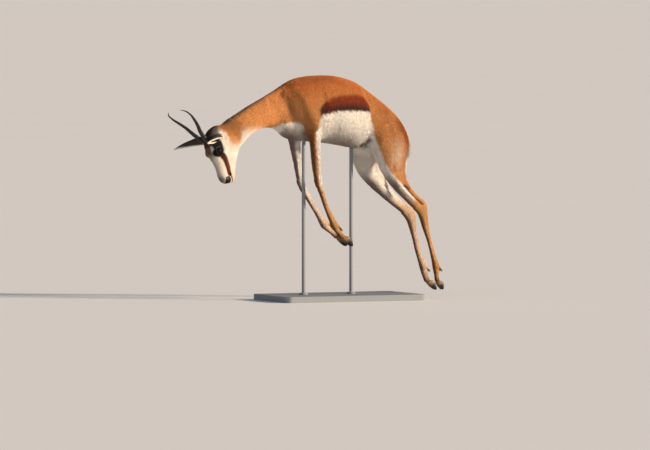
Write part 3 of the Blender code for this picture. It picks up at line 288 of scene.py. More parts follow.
def line_distance(points, line):
    """Distance of points to a line of straight spans, and the share along it."""
    line = np.asarray(line, dtype=float)
    best = np.full(len(points), np.inf)
    share = np.zeros(len(points))
    for index, (start, end) in enumerate(zip(line[:-1], line[1:])):
        span = end - start
        along = np.clip(((points - start) @ span) / (span @ span), 0.0, 1.0)
        away = np.linalg.norm(points - start - along[:, None] * span, axis=1)
        closer = away < best
        best[closer] = away[closer]
        share[closer] = index + along[closer]
    return best, share


def curve(rows, per_span):
    """Rows of a table joined by Catmull-Rom curves, per_span points a span."""
    rows = np.asarray(rows, dtype=float)
    padded = np.vstack([2 * rows[0] - rows[1], rows, 2 * rows[-1] - rows[-2]])
    steps = np.linspace(0.0, 1.0, per_span, endpoint=False)[:, None]
    spans = []
    for index in range(len(rows) - 1):
        a, b, c, d = padded[index:index + 4]
        spans.append(0.5 * (2 * b + (c - a) * steps + (2 * a - 5 * b + 4 * c - d) * steps**2
                            + (3 * b - a - 3 * c + d) * steps**3))
    spans.append(rows[-1][None, :])
    return np.vstack(spans)


# Meshes

def read_rows(items, key, width, kind=np.float32):
    """Values of a mesh collection as rows of an array."""
    values = np.empty(len(items) * width, dtype=kind)
    items.foreach_get(key, values)
    return values.reshape(-1, width)


def write_rows(items, key, values, kind=np.float32):
    """Set values of a mesh collection from an array."""
    items.foreach_set(key, np.ascontiguousarray(values, dtype=kind).ravel())


def read_points(item):
    """Vertex places as an array."""
    return read_rows(item.data.vertices, "co", 3).astype(float)


def read_normals(item):
    """Vertex normals as an array."""
    return read_rows(item.data.vertices, "normal", 3).astype(float)


def read_edges(item):
    """Edge ends as an array."""
    return read_rows(item.data.edges, "vertices", 2, np.int32)


def read_corners(mesh):
    """Vertex number of each face corner."""
    return read_rows(mesh.loops, "vertex_index", 1, np.int32).ravel()


def write_points(item, places):
    """Set vertex places from an array."""
    write_rows(item.data.vertices, "co", places)
    item.data.update()


def write_colours(item, name, values):
    """Set a named colour layer from a row for each vertex."""
    write_rows(item.data.color_attributes.new(name, "FLOAT_COLOR", "POINT").data, "color", values)


def write_values(item, name, values):
    """Set a named layer from a number for each vertex."""
    write_rows(item.data.attributes.new(name, "FLOAT", "POINT").data, "value", values)


def write_map(item, name, layout):
    """Set a named map from a place for each vertex."""
    layer = item.data.uv_layers.new(name=name)
    write_rows(layer.data, "uv", layout[read_corners(item.data)])


def add_object(name, data):
    """Object of a mesh, camera or light in the scene."""
    item = bpy.data.objects.new(name, data)
    bpy.context.scene.collection.objects.link(item)
    return item


def make_piece(name, points, face_sets, shader):
    """Smooth mesh object from points and sets of faces, each set with one count of corners."""
    mesh = bpy.data.meshes.new(name)
    counts = np.concatenate([np.full(len(faces), faces.shape[1]) for faces in face_sets])
    corners = np.concatenate([faces.ravel() for faces in face_sets])
    starts = np.cumsum(counts) - counts
    mesh.vertices.add(len(points))
    write_rows(mesh.vertices, "co", points)
    mesh.loops.add(len(corners))
    write_rows(mesh.loops, "vertex_index", corners, np.int32)
    mesh.polygons.add(len(counts))
    write_rows(mesh.polygons, "loop_start", starts, np.int32)
    mesh.update(calc_edges=True)
    mesh.shade_smooth()
    mesh.validate()
    piece = add_object(name, mesh)
    piece.data.materials.append(shader)
    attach(piece, "root")
    return piece


def grid_faces(rows, columns):
    """Quads of a grid of points whose last column joins its first."""
    row, column = np.meshgrid(np.arange(rows - 1), np.arange(columns), indexing="ij")
    after = (column + 1) % columns
    quads = np.stack([row * columns + column, row * columns + after,
                      (row + 1) * columns + after, (row + 1) * columns + column], axis=-1)
    return quads.reshape(-1, 4)


def tube(rings):
    """Points and faces of a closed tube from an array of rings, with fans at its ends."""
    count, sides = rings.shape[0], rings.shape[1]
    points = np.vstack([rings.reshape(-1, 3), rings[0].mean(axis=0), rings[-1].mean(axis=0)])
    here = np.arange(sides)
    after = (here + 1) % sides
    first, last = count * sides, count * sides + 1
    start = np.stack([np.full(sides, first), after, here], axis=-1)
    base = (count - 1) * sides
    end = np.stack([np.full(sides, last), base + here, base + after], axis=-1)
    return points, [grid_faces(count, sides), np.vstack([start, end])]


def rings_round(middle, first, second, reach, turn):
    """Rings of points round the places of a line, reach away, turned from first to second."""
    first, second = (np.broadcast_to(axis, middle.shape)[:, None, :] for axis in (first, second))
    return (middle[:, None, :] + (reach * np.cos(turn))[..., None] * first
            + (reach * np.sin(turn))[..., None] * second)


def face_outwards(piece):
    """Recalculate normals so that a closed shell faces out."""
    work = bmesh.new()
    work.from_mesh(piece.data)
    bmesh.ops.recalc_face_normals(work, faces=work.faces)
    work.to_mesh(piece.data)
    work.free()


def closed_piece(name, rings, shader):
    """Closed piece through an array of rings of points."""
    points, faces = tube(rings)
    piece = make_piece(name, points, faces, shader)
    face_outwards(piece)
    return piece


def neighbour_mean(values, edges):
    """Mean of each vertex's neighbours."""
    count = len(values)
    total = np.stack([np.bincount(edges[:, 0], values[edges[:, 1], part], count)
                      + np.bincount(edges[:, 1], values[edges[:, 0], part], count)
                      for part in range(values.shape[1])], axis=1)
    degree = np.bincount(edges.ravel(), minlength=count)
    return total / np.maximum(degree, 1)[:, None]


def relax(item, rounds, weight=1.0, steps=(0.50, -0.52)):
    """Smooth a mesh, more where weight is high.

    A step in and then a slightly larger step out keep its volume, and a lone step in doesn't.
    """
    places, edges = read_points(item), read_edges(item)
    weight = np.broadcast_to(np.asarray(weight, dtype=float), (len(places),))[:, None]
    for _ in range(rounds):
        for step in steps:
            places = places + step * weight * (neighbour_mean(places, edges) - places)
    write_points(item, places)


# Skin

def flesh_copy(names, swell):
    """Joined and merged copy of solids, swollen so that the thin cuts between them close."""
    work = bmesh.new()
    for name in names:
        part = bmesh.new()
        part.from_mesh(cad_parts[name].data)
        bmesh.ops.remove_doubles(part, verts=part.verts, dist=1e-6)
        part.normal_update()
        for corner in part.verts:
            corner.co += corner.normal * swell
        mesh = bpy.data.meshes.new(name)
        part.to_mesh(mesh)
        part.free()
        work.from_mesh(mesh)
        bpy.data.meshes.remove(mesh)
    joined = bpy.data.meshes.new("flesh")
    work.to_mesh(joined)
    work.free()
    return add_object("flesh", joined)


def apply_modifiers(item):
    """Put the mesh that the modifiers make in place of an object's own."""
    graph = bpy.context.evaluated_depsgraph_get()
    graph.update()
    finished = bpy.data.meshes.new_from_object(item.evaluated_get(graph))
    item.modifiers.clear()
    old = item.data
    item.data = finished
    bpy.data.meshes.remove(old)


def voxel_skin(names, cell, swell=0.00025):
    """One closed quad skin over a group of solids."""
    item = flesh_copy(names, swell)
    change = item.modifiers.new("Melt", "REMESH")
    change.mode = "VOXEL"
    change.voxel_size = cell
    change.adaptivity = 0.0
    apply_modifiers(item)
    return item


def keep_beyond(item, middle, normal):
    """Cut an open mesh at a plane and keep what lies on the normal's side."""
    work = bmesh.new()
    work.from_mesh(item.data)
    geometry = list(work.verts) + list(work.edges) + list(work.faces)
    bmesh.ops.bisect_plane(work, geom=geometry, dist=1e-7, plane_co=Vector(middle),
                           plane_no=Vector(normal), clear_inner=True)
    work.to_mesh(item.data)
    work.free()


def rim_loops(work):
    """Open rims of a mesh, each as its edges and its middle."""
    waiting = {edge for edge in work.edges if edge.is_boundary}
    loops = []
    while waiting:
        edge = waiting.pop()
        found, front = [edge], [edge]
        while front:
            here = front.pop()
            for corner in here.verts:
                for other in corner.link_edges:
                    if other in waiting:
                        waiting.discard(other)
                        found.append(other)
                        front.append(other)
        middle = sum((edge.verts[0].co for edge in found), Vector()) / len(found)
        loops.append((found, middle))
    return loops


def sew(items, name):
    """Join open meshes and bridge each pair of rims that face each other."""
    work = bmesh.new()
    for item in items:
        work.from_mesh(item.data)
        mesh = item.data
        bpy.data.objects.remove(item, do_unlink=True)
        bpy.data.meshes.remove(mesh)
    loops = rim_loops(work)
    while len(loops) > 1:
        edges, middle = loops.pop()
        gaps = [(other[1] - middle).length for other in loops]
        nearest = int(np.argmin(gaps))
        partner = loops.pop(nearest)
        bmesh.ops.bridge_loops(work, edges=edges + partner[0])
    bmesh.ops.recalc_face_normals(work, faces=work.faces)
    joined = bpy.data.meshes.new(name)
    work.to_mesh(joined)
    work.free()
    return add_object(name, joined)


def near_eye(places, reach):
    """1 away from both eyes, falling to 0 within reach of a point 10 mm outside their middles."""
    s, t, b = head_frame(places)
    es, et, eb = EYE_MIDDLE
    away = np.sqrt((s - es)**2 + (t - et)**2 + (np.abs(b) - eb - 0.010)**2)
    return smoothstep(reach, reach + 0.012, away)


def ear_frame(places, side):
    """How places lie at one ear.

    Gives the share along the ear's axis, the distance from it, the axis, the direction in
    which the ear opens, and how far a place lies before the front edge of its rim.
    """
    root = head_point(EAR_ROOT[0], EAR_ROOT[1], side * EAR_ROOT[2])
    s, t, b = EAR_TIPS[side]
    tip = head_point(s, t, side * b)
    along = tip - root
    share = (places - root) @ along / (along @ along)
    away = np.linalg.norm(places - root - share[:, None] * along, axis=1)
    s, t, b = EAR_OPENING
    opening = s * NOSE + t * BROW + side * b * LEFT
    axis = unit(along)
    opening = unit(opening - axis * (opening @ axis))
    span = np.array(EAR_SPAN)
    spread = np.radians(np.interp(share, span[:, 0], span[:, 2]))
    radius = EAR_SCALE[side] * np.interp(share, span[:, 0], span[:, 1])
    radius = radius / np.sin(np.minimum(spread, math.pi / 2))
    middle = radius * (np.cos(spread) * 0.35 + EAR_FORWARD[side])
    front = (places - root) @ opening - middle + radius * np.cos(spread)
    return share, away, axis, opening, front


def ear_weight(places):
    """1 on the ears beyond their roots and 0 elsewhere."""
    weight = np.zeros(len(places))
    for side in (-1, 1):
        share, away, *_ = ear_frame(places, side)
        weight = np.maximum(weight, smoothstep(0.10, 0.24, share) * (away < EAR_REACH))
    return weight


def face_forms(places):
    """Rise of lips, nostrils, the folds round the lids, tear gland, cheek ridge and jaw."""
    s, t, b = head_frame(places)
    wide = np.abs(b)
    head = smoothstep(0.24, 0.20, np.linalg.norm(places - head_point(0.09, 0.02, 0.0), axis=1))
    flat = np.stack([s, t], axis=1)
    lips, _ = line_distance(flat, MOUTH)
    front = smoothstep(0.160, 0.172, s) * head
    rise = -0.0030 * bell(lips, 0.0019) * front
    rise += 0.0011 * bell(lips - 0.0052, 0.0026) * front
    slit, _ = line_distance(np.stack([s, t, wide], axis=1), NOSTRIL)
    rise -= 0.0062 * bell(slit, 0.0030) * head
    rise += 0.0014 * bell(slit - 0.0062, 0.0024) * head
    rise -= 0.0012 * bell(b, 0.0016) * smoothstep(0.188, 0.200, s) * head
    es, et, _ = EYE_MIDDLE
    ring = np.hypot((s - es) / 1.18, t - et)
    side = smoothstep(0.026, 0.034, wide) * head
    rise += 0.0012 * bell(ring - 0.0175, 0.0022) * side
    rise -= 0.0012 * bell(ring - 0.0225, 0.0024) * side
    for points, height, reach in FACE_FORMS:
        away, _ = line_distance(flat, points)
        rise += height * bell(away, reach) * side
    return rise


def trunk_forms(plain, normals):
    """Rise of muscles, hollows, folds and ribs, where the skin faces sideways."""
    rise = np.zeros(len(plain))
    upright = smoothstep(0.25, 0.75, np.abs(normals[:, 1])) * (plain[:, 0] > -0.33)
    for points, height, reach in BODY_FORMS:
        hind = points[0][0] > 0.09
        low = min(z for _, z in points) < 0.72
        offset = (FAR_HIND_SHIFT if hind else FAR_FORE_SHIFT) * (plain[:, 1] > 0) * low
        away, _ = line_distance(np.stack([plain[:, 0] + offset, plain[:, 2]], axis=1), points)
        rise += height * bell(away, reach) * upright
    for top in RIB_TOPS:
        rib = [(top - 0.012, 0.875), (top, 0.800), (top - 0.006, 0.730)]
        away, _ = line_distance(plain[:, [0, 2]], rib)
        rise += 0.0009 * bell(away, 0.008) * upright
    return rise


def leg_forms(plain, normals):
    """Rise of knee or hock, fetlock, pastern and the groove before the tendon of each lower leg."""
    rise = np.zeros(len(plain))
    for name in LEGS:
        line = np.asarray(LINES[name])[2:]
        away, share = line_distance(plain, line)
        span = unit(line[1] - line[0])
        ahead = unit(np.array([span[2], 0.0, -span[0]]))
        depth = (plain - line[0]) @ ahead
        facing = normals @ ahead
        leg = away < LEG_REACH
        cannon = smoothstep(0.12, 0.25, share) * smoothstep(0.98, 0.85, share) * leg
        flank = smoothstep(0.45, 0.80, np.abs(normals[:, 1]))
        fetlock = 0.35 + 0.65 * smoothstep(0.1, -0.7, facing)
        rise += 0.0020 * bell(share, 0.10) * smoothstep(0.2, 0.8, np.abs(facing)) * leg
        rise += 0.0034 * bell(share - 1.0, 0.11) * fetlock * leg
        rise -= 0.0016 * bell(share - 1.50, 0.22) * leg
        rise -= 0.0016 * bell(depth + 0.0045, 0.0028) * cannon * flank
    return rise


def skin_forms(places, normals):
    """Rise of all forms over the plain skin.

    Each form is a bell curve round a point or a line, added or taken away along the normal.
    """
    plain = places - SHIFT
    return face_forms(places) + trunk_forms(plain, normals) + leg_forms(plain, normals)


def coat_depth(places):
    """How far the skin lies inside the solids."""
    plain = places - SHIFT
    s, _, _ = head_frame(places)
    face = smoothstep(-0.05, 0.06, s) * (plain[:, 0] < HEAD_END)
    ears = ear_weight(places)
    depth = 0.0012 + 0.0016 * smoothstep(0.42, 0.62, plain[:, 2])
    depth = depth * (1 - face) + 0.0010 * face
    return depth * (1 - ears) + 0.0002 * ears


def build_skin(form):
    """Skin of the whole animal from three meshes of different fineness, sewn together."""
    head = voxel_skin(["head", "ear_left", "ear_right", "neck"], form.head_cell)
    body = voxel_skin([name for name in FLESH if not name.startswith("ear")], form.body_cell)
    limbs = voxel_skin([name for name in FLESH if "upper" in name or "lower" in name],
                       form.leg_cell)
    places = read_points(head)
    calm = near_eye(places, 0.016) * (1 - 0.75 * ear_weight(places))
    relax(head, 22, calm)
    relax(body, 24)
    relax(limbs, 16)
    neck = np.array(NECK_CUT) + SHIFT
    leg = UP * LEG_CUT_HEIGHT + SHIFT
    ahead = np.array(NECK_CUT_AHEAD)
    gap = form.body_cell * 0.4
    keep_beyond(head, neck + ahead * gap, ahead)
    keep_beyond(body, neck - ahead * gap, -ahead)
    keep_beyond(body, leg + UP * gap, UP)
    keep_beyond(limbs, leg - UP * gap, -UP)
    skin = sew([head, body, limbs], "skin")
    places = read_points(skin)
    for middle, normal in ((neck, ahead), (leg, UP)):
        seam = bell((places - middle) @ normal, 0.008)
        relax(skin, 12, seam, (0.50,))
    places, normals, edges = read_points(skin), read_normals(skin), read_edges(skin)
    depth = coat_depth(places)[:, None]
    for _ in range(3):
        depth = neighbour_mean(depth, edges)
    write_points(skin, places + normals * (skin_forms(places, normals)[:, None] - depth))
    skin.data.shade_smooth()
    return skin


def coat_lie(places, normals, edges):
    """Direction of the coat at each vertex, along the skin.

    Each line of bones, the face and each ear gives its own direction, weighted by the
    inverse fourth power of its distance.  The sum is laid on the skin and averaged.
    """
    plain = places - SHIFT
    total = np.zeros_like(places)
    for points in LINES.values():
        line = np.asarray(points)
        for start, end in zip(line[:-1], line[1:]):
            away, _ = line_distance(plain, [start, end])
            total += unit(end - start) / (away**2 + 0.0004)[:, None]**2
    _, t, _ = head_frame(places)
    away = np.linalg.norm(places - head_point(0.10, 0.02, 0.0), axis=1)
    face = smoothstep(0.19, 0.12, away)[:, None]
    backwards = -NOSE - 0.25 * BROW * np.sign(t - 0.01)[:, None]
    total = unit(total) * (1 - face) + unit(backwards) * face
    for side in (-1, 1):
        share, away, axis, *_ = ear_frame(places, side)
        on_ear = (smoothstep(0.08, 0.22, share) * (away < EAR_REACH))[:, None]
        total = total * (1 - on_ear) + axis * on_ear
    barrel = smoothstep(0.60, 0.70, plain[:, 2]) * smoothstep(-0.30, -0.2, plain[:, 0])
    total = unit(total) - 0.35 * barrel[:, None] * UP
    for _ in range(25):
        total = unit(along_skin(total, normals))
        total = 0.4 * total + 0.6 * neighbour_mean(total, edges)
    return unit(along_skin(total, normals))


# Markings

def blend(colour, tint, share):
    """Colours moved towards a tint by a share at each place."""
    return colour + (tint - colour) * np.clip(share, 0.0, 1.0)[:, None]


def trunk_marks(plain, normals, tones):
    """Russet back, grey nape partly painted shade, painted shade on top of the back, dark flank band,
    white belly and brisket.
    """
    x, y, z = plain.T
    wide = np.abs(y)
    russet = smoothstep(0.80, 0.93, z + np.maximum(x - 0.10, 0.0) * 0.5) * (x > -0.45)
    yield tones["russet"], 0.85 * russet
    # Grey down the nape: partly darker coat along the top of the neck, partly painted shade
    nape = edge_at(NAPE_LINE, x)
    nape = smoothstep(nape - 0.008, nape + 0.012, z) * smoothstep(-0.22, -0.32, x)
    yield tones["grey"], 0.65 * nape * smoothstep(0.045, 0.020, wide)
    # Painted shade: brown on the upward-facing skin of the back from the withers to mid-back
    back_top_shade = smoothstep(0.55, 0.90, normals[:, 2]) * smoothstep(-0.30, -0.22, x)
    yield tones["brown"], 0.40 * back_top_shade * smoothstep(0.02, -0.06, x)

    # White belly under the band: the band is red above and nearly black below and in front
    lower = edge_at(BAND_LOWER, x)
    upper = edge_at(BAND_UPPER, x)
    hind_x = x + FAR_HIND_SHIFT * (y > 0)
    fore_x = x + FAR_FORE_SHIFT * (y > 0)
    thigh = edge_at(THIGH_EDGE, z, given=1)
    within = smoothstep(-0.128, -0.112, fore_x) * smoothstep(0.124, 0.114, x) * (wide > 0.03)
    band = smoothstep(lower - 0.003, lower + 0.003, z) * smoothstep(upper + 0.009, upper - 0.009, z)
    level = np.clip((z - lower) / np.maximum(upper - lower, 0.01), 0.0, 1.0)
    warm = smoothstep(0.05, 0.75, level) * smoothstep(-0.125, -0.055, x)
    yield blend(tones["band_low"], tones["band"], warm), band * within
    belly = smoothstep(lower + 0.003, lower - 0.003, z) * smoothstep(thigh + 0.004, thigh - 0.004, hind_x)
    belly *= smoothstep(-0.130, -0.118, fore_x) * (z > 0.62)
    under = smoothstep(0.690, 0.670, z) * (x > -0.27) * (x < 0.17) * (z > 0.60)
    under *= smoothstep(0.2, -0.3, normals[:, 2]) * (wide < 0.06)
    top = edge_at(BRISKET_EDGE, x)
    brisket = smoothstep(top + 0.004, top - 0.004, z) * smoothstep(-0.325, -0.300, x)
    brisket *= smoothstep(-0.06, -0.10, x) * (z > 0.60)
    brisket *= 1 - smoothstep(0.060, 0.070, wide) * smoothstep(-0.190, -0.170, fore_x)
    yield tones["white"], np.maximum(np.maximum(belly, under), brisket)


def rump_marks(plain, normals, tones):
    """White patch behind, from the croup down, with a broad rust edge, and the white tail."""
    x, y, z = plain.T
    behind = smoothstep(0.225, 0.255, x) * smoothstep(-0.15, 0.15, normals[:, 0]) * (z > 0.46)
    gap = np.abs(y) - edge_at(RUMP_HALF_WIDTH, z)
    edge = smoothstep(-0.004, 0.002, gap) * smoothstep(0.056, 0.030, gap) * smoothstep(0.60, 0.67, z)
    yield tones["band"], 0.75 * edge * smoothstep(0.80, 0.74, z) * behind
    tail = (np.abs(y) < 0.016) & (x > 0.295) & (z > 0.49) & (z < 0.62)
    yield tones["white"], np.maximum(smoothstep(0.004, -0.004, gap) * behind, tail)


def leg_marks(plain, normals, tones):
    """Legs tawny outside, white inside and behind, ochre shanks, brown feet, brown fronts partly painted
    shade, painted shade in hind creases and groin, a painted thigh highlight.
    """
    x, y, z = plain.T
    outward = normals[:, 1] * np.sign(y)
    hind_x = x + FAR_HIND_SHIFT * (y > 0)
    inside = smoothstep(0.30, -0.20, outward)
    fore = (x < 0.085) & (z < 0.785) & (x > -0.26)
    hind = (x > 0.080) & (z < 0.74)
    edge = edge_at(FORELEG_EDGE, z, given=1) - (y > 0) * edge_at(FAR_FORELEG_SHIFT, z)
    shank = smoothstep(0.500, 0.400, z)
    yield tones["ochre"], 0.8 * shank
    rear = smoothstep(-0.002, 0.004, x - edge) * smoothstep(0.43, 0.52, z)
    rear *= smoothstep(0.790, 0.775, z) * (x < -0.06)
    leg = np.maximum(inside * smoothstep(0.30, 0.50, z) * smoothstep(0.735, 0.700, z), rear)
    leg = np.maximum(leg, 0.5 * inside * shank)
    yield tones["white"], leg * fore
    thigh = edge_at(THIGH_EDGE, z, given=1)
    front = smoothstep(thigh + 0.005, thigh - 0.005, hind_x) * smoothstep(0.400, 0.440, z)
    leg = np.maximum(inside * smoothstep(0.34, 0.46, z) * (z < 0.72), front)
    leg = np.maximum(leg, 0.35 * inside * shank)
    yield tones["white"], leg * hind
    # Brown on the forward-facing skin of the legs, up to the elbow on the forelegs: partly darker coat on
    # the shanks, partly painted shade
    ahead = smoothstep(0.02, 0.62, -normals[:, 0] - 0.3 * normals[:, 2])
    ahead *= np.where(fore, smoothstep(0.76, 0.68, z), smoothstep(0.56, 0.48, z))
    yield tones["brown"], 0.80 * ahead
    # Painted highlight: a lighter patch on the outer thigh where the key light falls
    light = bell(x - 0.240, 0.036) * bell(z - 0.618, 0.060) * (outward > 0)
    painted_highlight_tint = 0.6 * tones["ochre"] + 0.4 * tones["white"]
    yield painted_highlight_tint, 0.90 * light
    side_view = np.stack([hind_x, z], axis=1)
    # Painted shade along the creases of the hind leg
    for points, strength, reach in LEG_CREASE_SHADE:
        away, _ = line_distance(side_view, points)
        fold = smoothstep(reach, 0.3 * reach, away) * (outward > 0.1) * hind
        yield tones["brown"], strength * fold
    # Painted shadow in the fold between belly and thigh
    groin_shadow, _ = line_distance(side_view, GROIN_SHADOW_LINE)
    yield tones["band_low"], 0.85 * smoothstep(0.0105, 0.0040, groin_shadow) * (outward > 0.2)
    foot = np.where(fore, smoothstep(0.300, 0.262, z), smoothstep(0.118, 0.078, z))
    yield tones["brown"], 0.55 * foot


def cream_marks(s, t, near, tones):
    """Cream face up to a soft edge at the nape, with a white throat, tan cheek and ochre lips."""
    nape = edge_at(NAPE_EDGE, t)
    soft = 0.009 + 0.012 * smoothstep(0.010, -0.010, t)
    cream = 0.80 * tones["white"] + 0.20 * tones["ochre"]
    yield cream, smoothstep(nape - soft, nape + soft, s) * near
    rim = smoothstep(-0.053, -0.067, t) * smoothstep(-0.020, 0.030, s)
    yield tones["white"], 0.8 * rim * near
    cheek = bell(s - 0.042, 0.018) * bell(t + 0.018, 0.026)
    yield tones["tawny"], 0.60 * cheek * near
    lips = smoothstep(0.150, 0.190, s) * smoothstep(0.004, -0.006, t)
    yield tones["ochre"], 0.45 * lips * near


def crown_marks(s, t, wide, near, tones):
    """Dark grey crown partly painted shade, black horn roots partly painted shadow, brown forehead, and
    painted shade as grey along the nose bridge.
    """
    # Grey crown: brown hair darkened, partly as painted shade
    crown = smoothstep(0.036, 0.054, t) * smoothstep(0.062, 0.046, s) * smoothstep(-0.048, -0.020, s)
    yield tones["grey"], 0.80 * crown * near
    # Black at the horn roots and down the middle of the crown: dark hair with painted shadow
    horn_root = np.sqrt((s - 0.030)**2 + (t - 0.064)**2 + (wide - 0.016)**2)
    dark = np.maximum(smoothstep(0.034, 0.020, horn_root), 0.7 * crown * smoothstep(0.024, 0.012, wide))
    yield tones["black"], 0.85 * dark * near
    brow = smoothstep(0.058, 0.072, t) * smoothstep(0.026, 0.018, wide - 0.05 * (0.08 - s))
    fading = smoothstep(0.118, 0.080, s)
    yield tones["brown"], 0.90 * brow * fading * near
    # Painted shade: grey along the bridge of the nose
    bridge = smoothstep(0.016, 0.006, wide) * smoothstep(0.030, 0.045, t) * smoothstep(0.085, 0.110, s)
    yield tones["grey"], 0.45 * bridge * near


def eye_marks(s, t, wide, near, tones):
    """Black round the eye, and a stripe to the mouth turning from dark to red brown, its upper side kept
    darker as painted shade.
    """
    flat = np.stack([s, t], axis=1)
    side = smoothstep(0.010, 0.016, wide) * near
    stripe, share = line_distance(flat, CHEEK_STRIPE)
    half = STRIPE_HALF_WIDTH * (1 - 0.22 * share / len(CHEEK_STRIPE))
    # Painted shade: the stripe's upper side stays dark and only its lower side turns red brown
    warm = smoothstep(0.5, 2.6, share) * smoothstep(0.004, -0.006, t - edge_at(CHEEK_STRIPE, s))
    tint = blend(tones["brown"] * 0.45, tones["band"], warm)
    yield tint, smoothstep(half + 0.0018, half - 0.0018, stripe) * side
    patch, _ = line_distance(flat, EYE_PATCH)
    yield tones["black"], smoothstep(0.0220, 0.0180, patch) * (wide > 0.022) * near


def nose_top_shade(s, t, wide, near, tones):
    """Grey on the top of the nose: painted shade."""
    # Painted shade on the top of the nose
    top = ((s - 0.194) / 0.020)**2 + ((t - 0.042) / 0.014)**2 + (wide / 0.024)**2
    yield tones["grey"], 0.80 * bell(top, 1.0) * near


def near_face(places):
    """1 on the face and 0 beyond it, with a soft edge 20 mm wide."""
    away = np.linalg.norm(places - head_point(0.08, 0.01, 0.0), axis=1)
    return smoothstep(0.215, 0.195, away)


def bare_skin(places):
    """Share of bare skin at each place: the nose pad, along the mouth and under the lids."""
    s, t, b = head_frame(places)
    wide = np.abs(b)
    pad = ((s - 0.1960) / 0.0185)**2 + ((t - 0.0200) / 0.0160)**2 + (wide / 0.0380)**2
    mouth, _ = line_distance(np.stack([s, t], axis=1), MOUTH)
    nose = np.maximum(smoothstep(1.10, 0.92, pad), smoothstep(0.0034, 0.0018, mouth)) * (s > 0.172)
    es, et, _ = EYE_MIDDLE
    ring = np.hypot((s - es) / 1.2, t - et)
    lids = smoothstep(0.0158, 0.0140, ring) * (wide > 0.030)
    return np.maximum(nose, lids) * near_face(places)


def face_marks(places, tones):
    """Markings of the whole face apart from its bare skin, painted shade included."""
    s, t, b = head_frame(places)
    wide = np.abs(b)
    near = near_face(places)
    yield from cream_marks(s, t, near, tones)
    yield from crown_marks(s, t, wide, near, tones)
    yield from eye_marks(s, t, wide, near, tones)
    yield from nose_top_shade(s, t, wide, near, tones)


def ear_cover(places, side):
    """1 on one ear beyond its root and 0 elsewhere."""
    share, away, *_ = ear_frame(places, side)
    return smoothstep(0.14, 0.30, share) * (away < EAR_REACH) * (share < 1.2)


def ear_marks(places, normals, tones):
    """Dark grey ears, inside and behind, each with a cream rim."""
    for side in (-1, 1):
        share, _, _, opening, front = ear_frame(places, side)
        on_ear = ear_cover(places, side)
        cup = smoothstep(0.0, 0.4, normals @ opening)
        rim = smoothstep(-0.0060, -0.0030, front) * smoothstep(0.16, 0.34, share)
        yield tones["grey"] * 0.55, 0.92 * on_ear
        yield tones["black"], on_ear * cup * 0.85
        yield tones["white"], on_ear * rim * 0.95


def markings(places, normals, tones):
    """Coat colour at each place, painted shade and highlights included, and the share of bare skin there.

    The markings are layers from the lowest up, each a tint and its share at each place.
    """
    plain = places - SHIFT
    bare = bare_skin(places)
    layers = [*trunk_marks(plain, normals, tones), *leg_marks(plain, normals, tones),
              *rump_marks(plain, normals, tones), *face_marks(places, tones),
              (tones["bare"], bare), *ear_marks(places, normals, tones)]
    colour = np.broadcast_to(tones["tawny"], places.shape)
    for tint, share in layers:
        colour = blend(colour, tint, share)
    bare = bare * (1 - ear_cover(places, -1)) * (1 - ear_cover(places, 1))
    return np.column_stack([colour, bare]).clip(0.0, 1.0)


# Materials

# Settings of a mix node that multiplies one colour by another
TINTING = {"data_type": "RGBA", "blend_type": "MULTIPLY"}


def join(tree, node, sources):
    """Link outputs to a node's inputs, each given by name or number."""
    for name, source in sources.items():
        tree.links.new(source, node.inputs[name])


def add_node(tree, kind, settings=None, links=None):
    """Node with its settings and links: a name sets a property, a number or name an input."""
    made = tree.nodes.new(kind)
    for name, value in (settings or {}).items():
        if isinstance(name, int) or (name in made.inputs and not hasattr(made, name)):
            made.inputs[name].default_value = value
        else:
            setattr(made, name, value)
    join(tree, made, links or {})
    return made


def start_material(name, settings):
    """Material with a Principled shader, its tree and the shader node."""
    made = bpy.data.materials.new(name)
    made.use_nodes = True
    tree = made.node_tree
    shader = tree.nodes["Principled BSDF"]
    for socket, value in settings.items():
        shader.inputs[socket].default_value = value
    return made, tree, shader


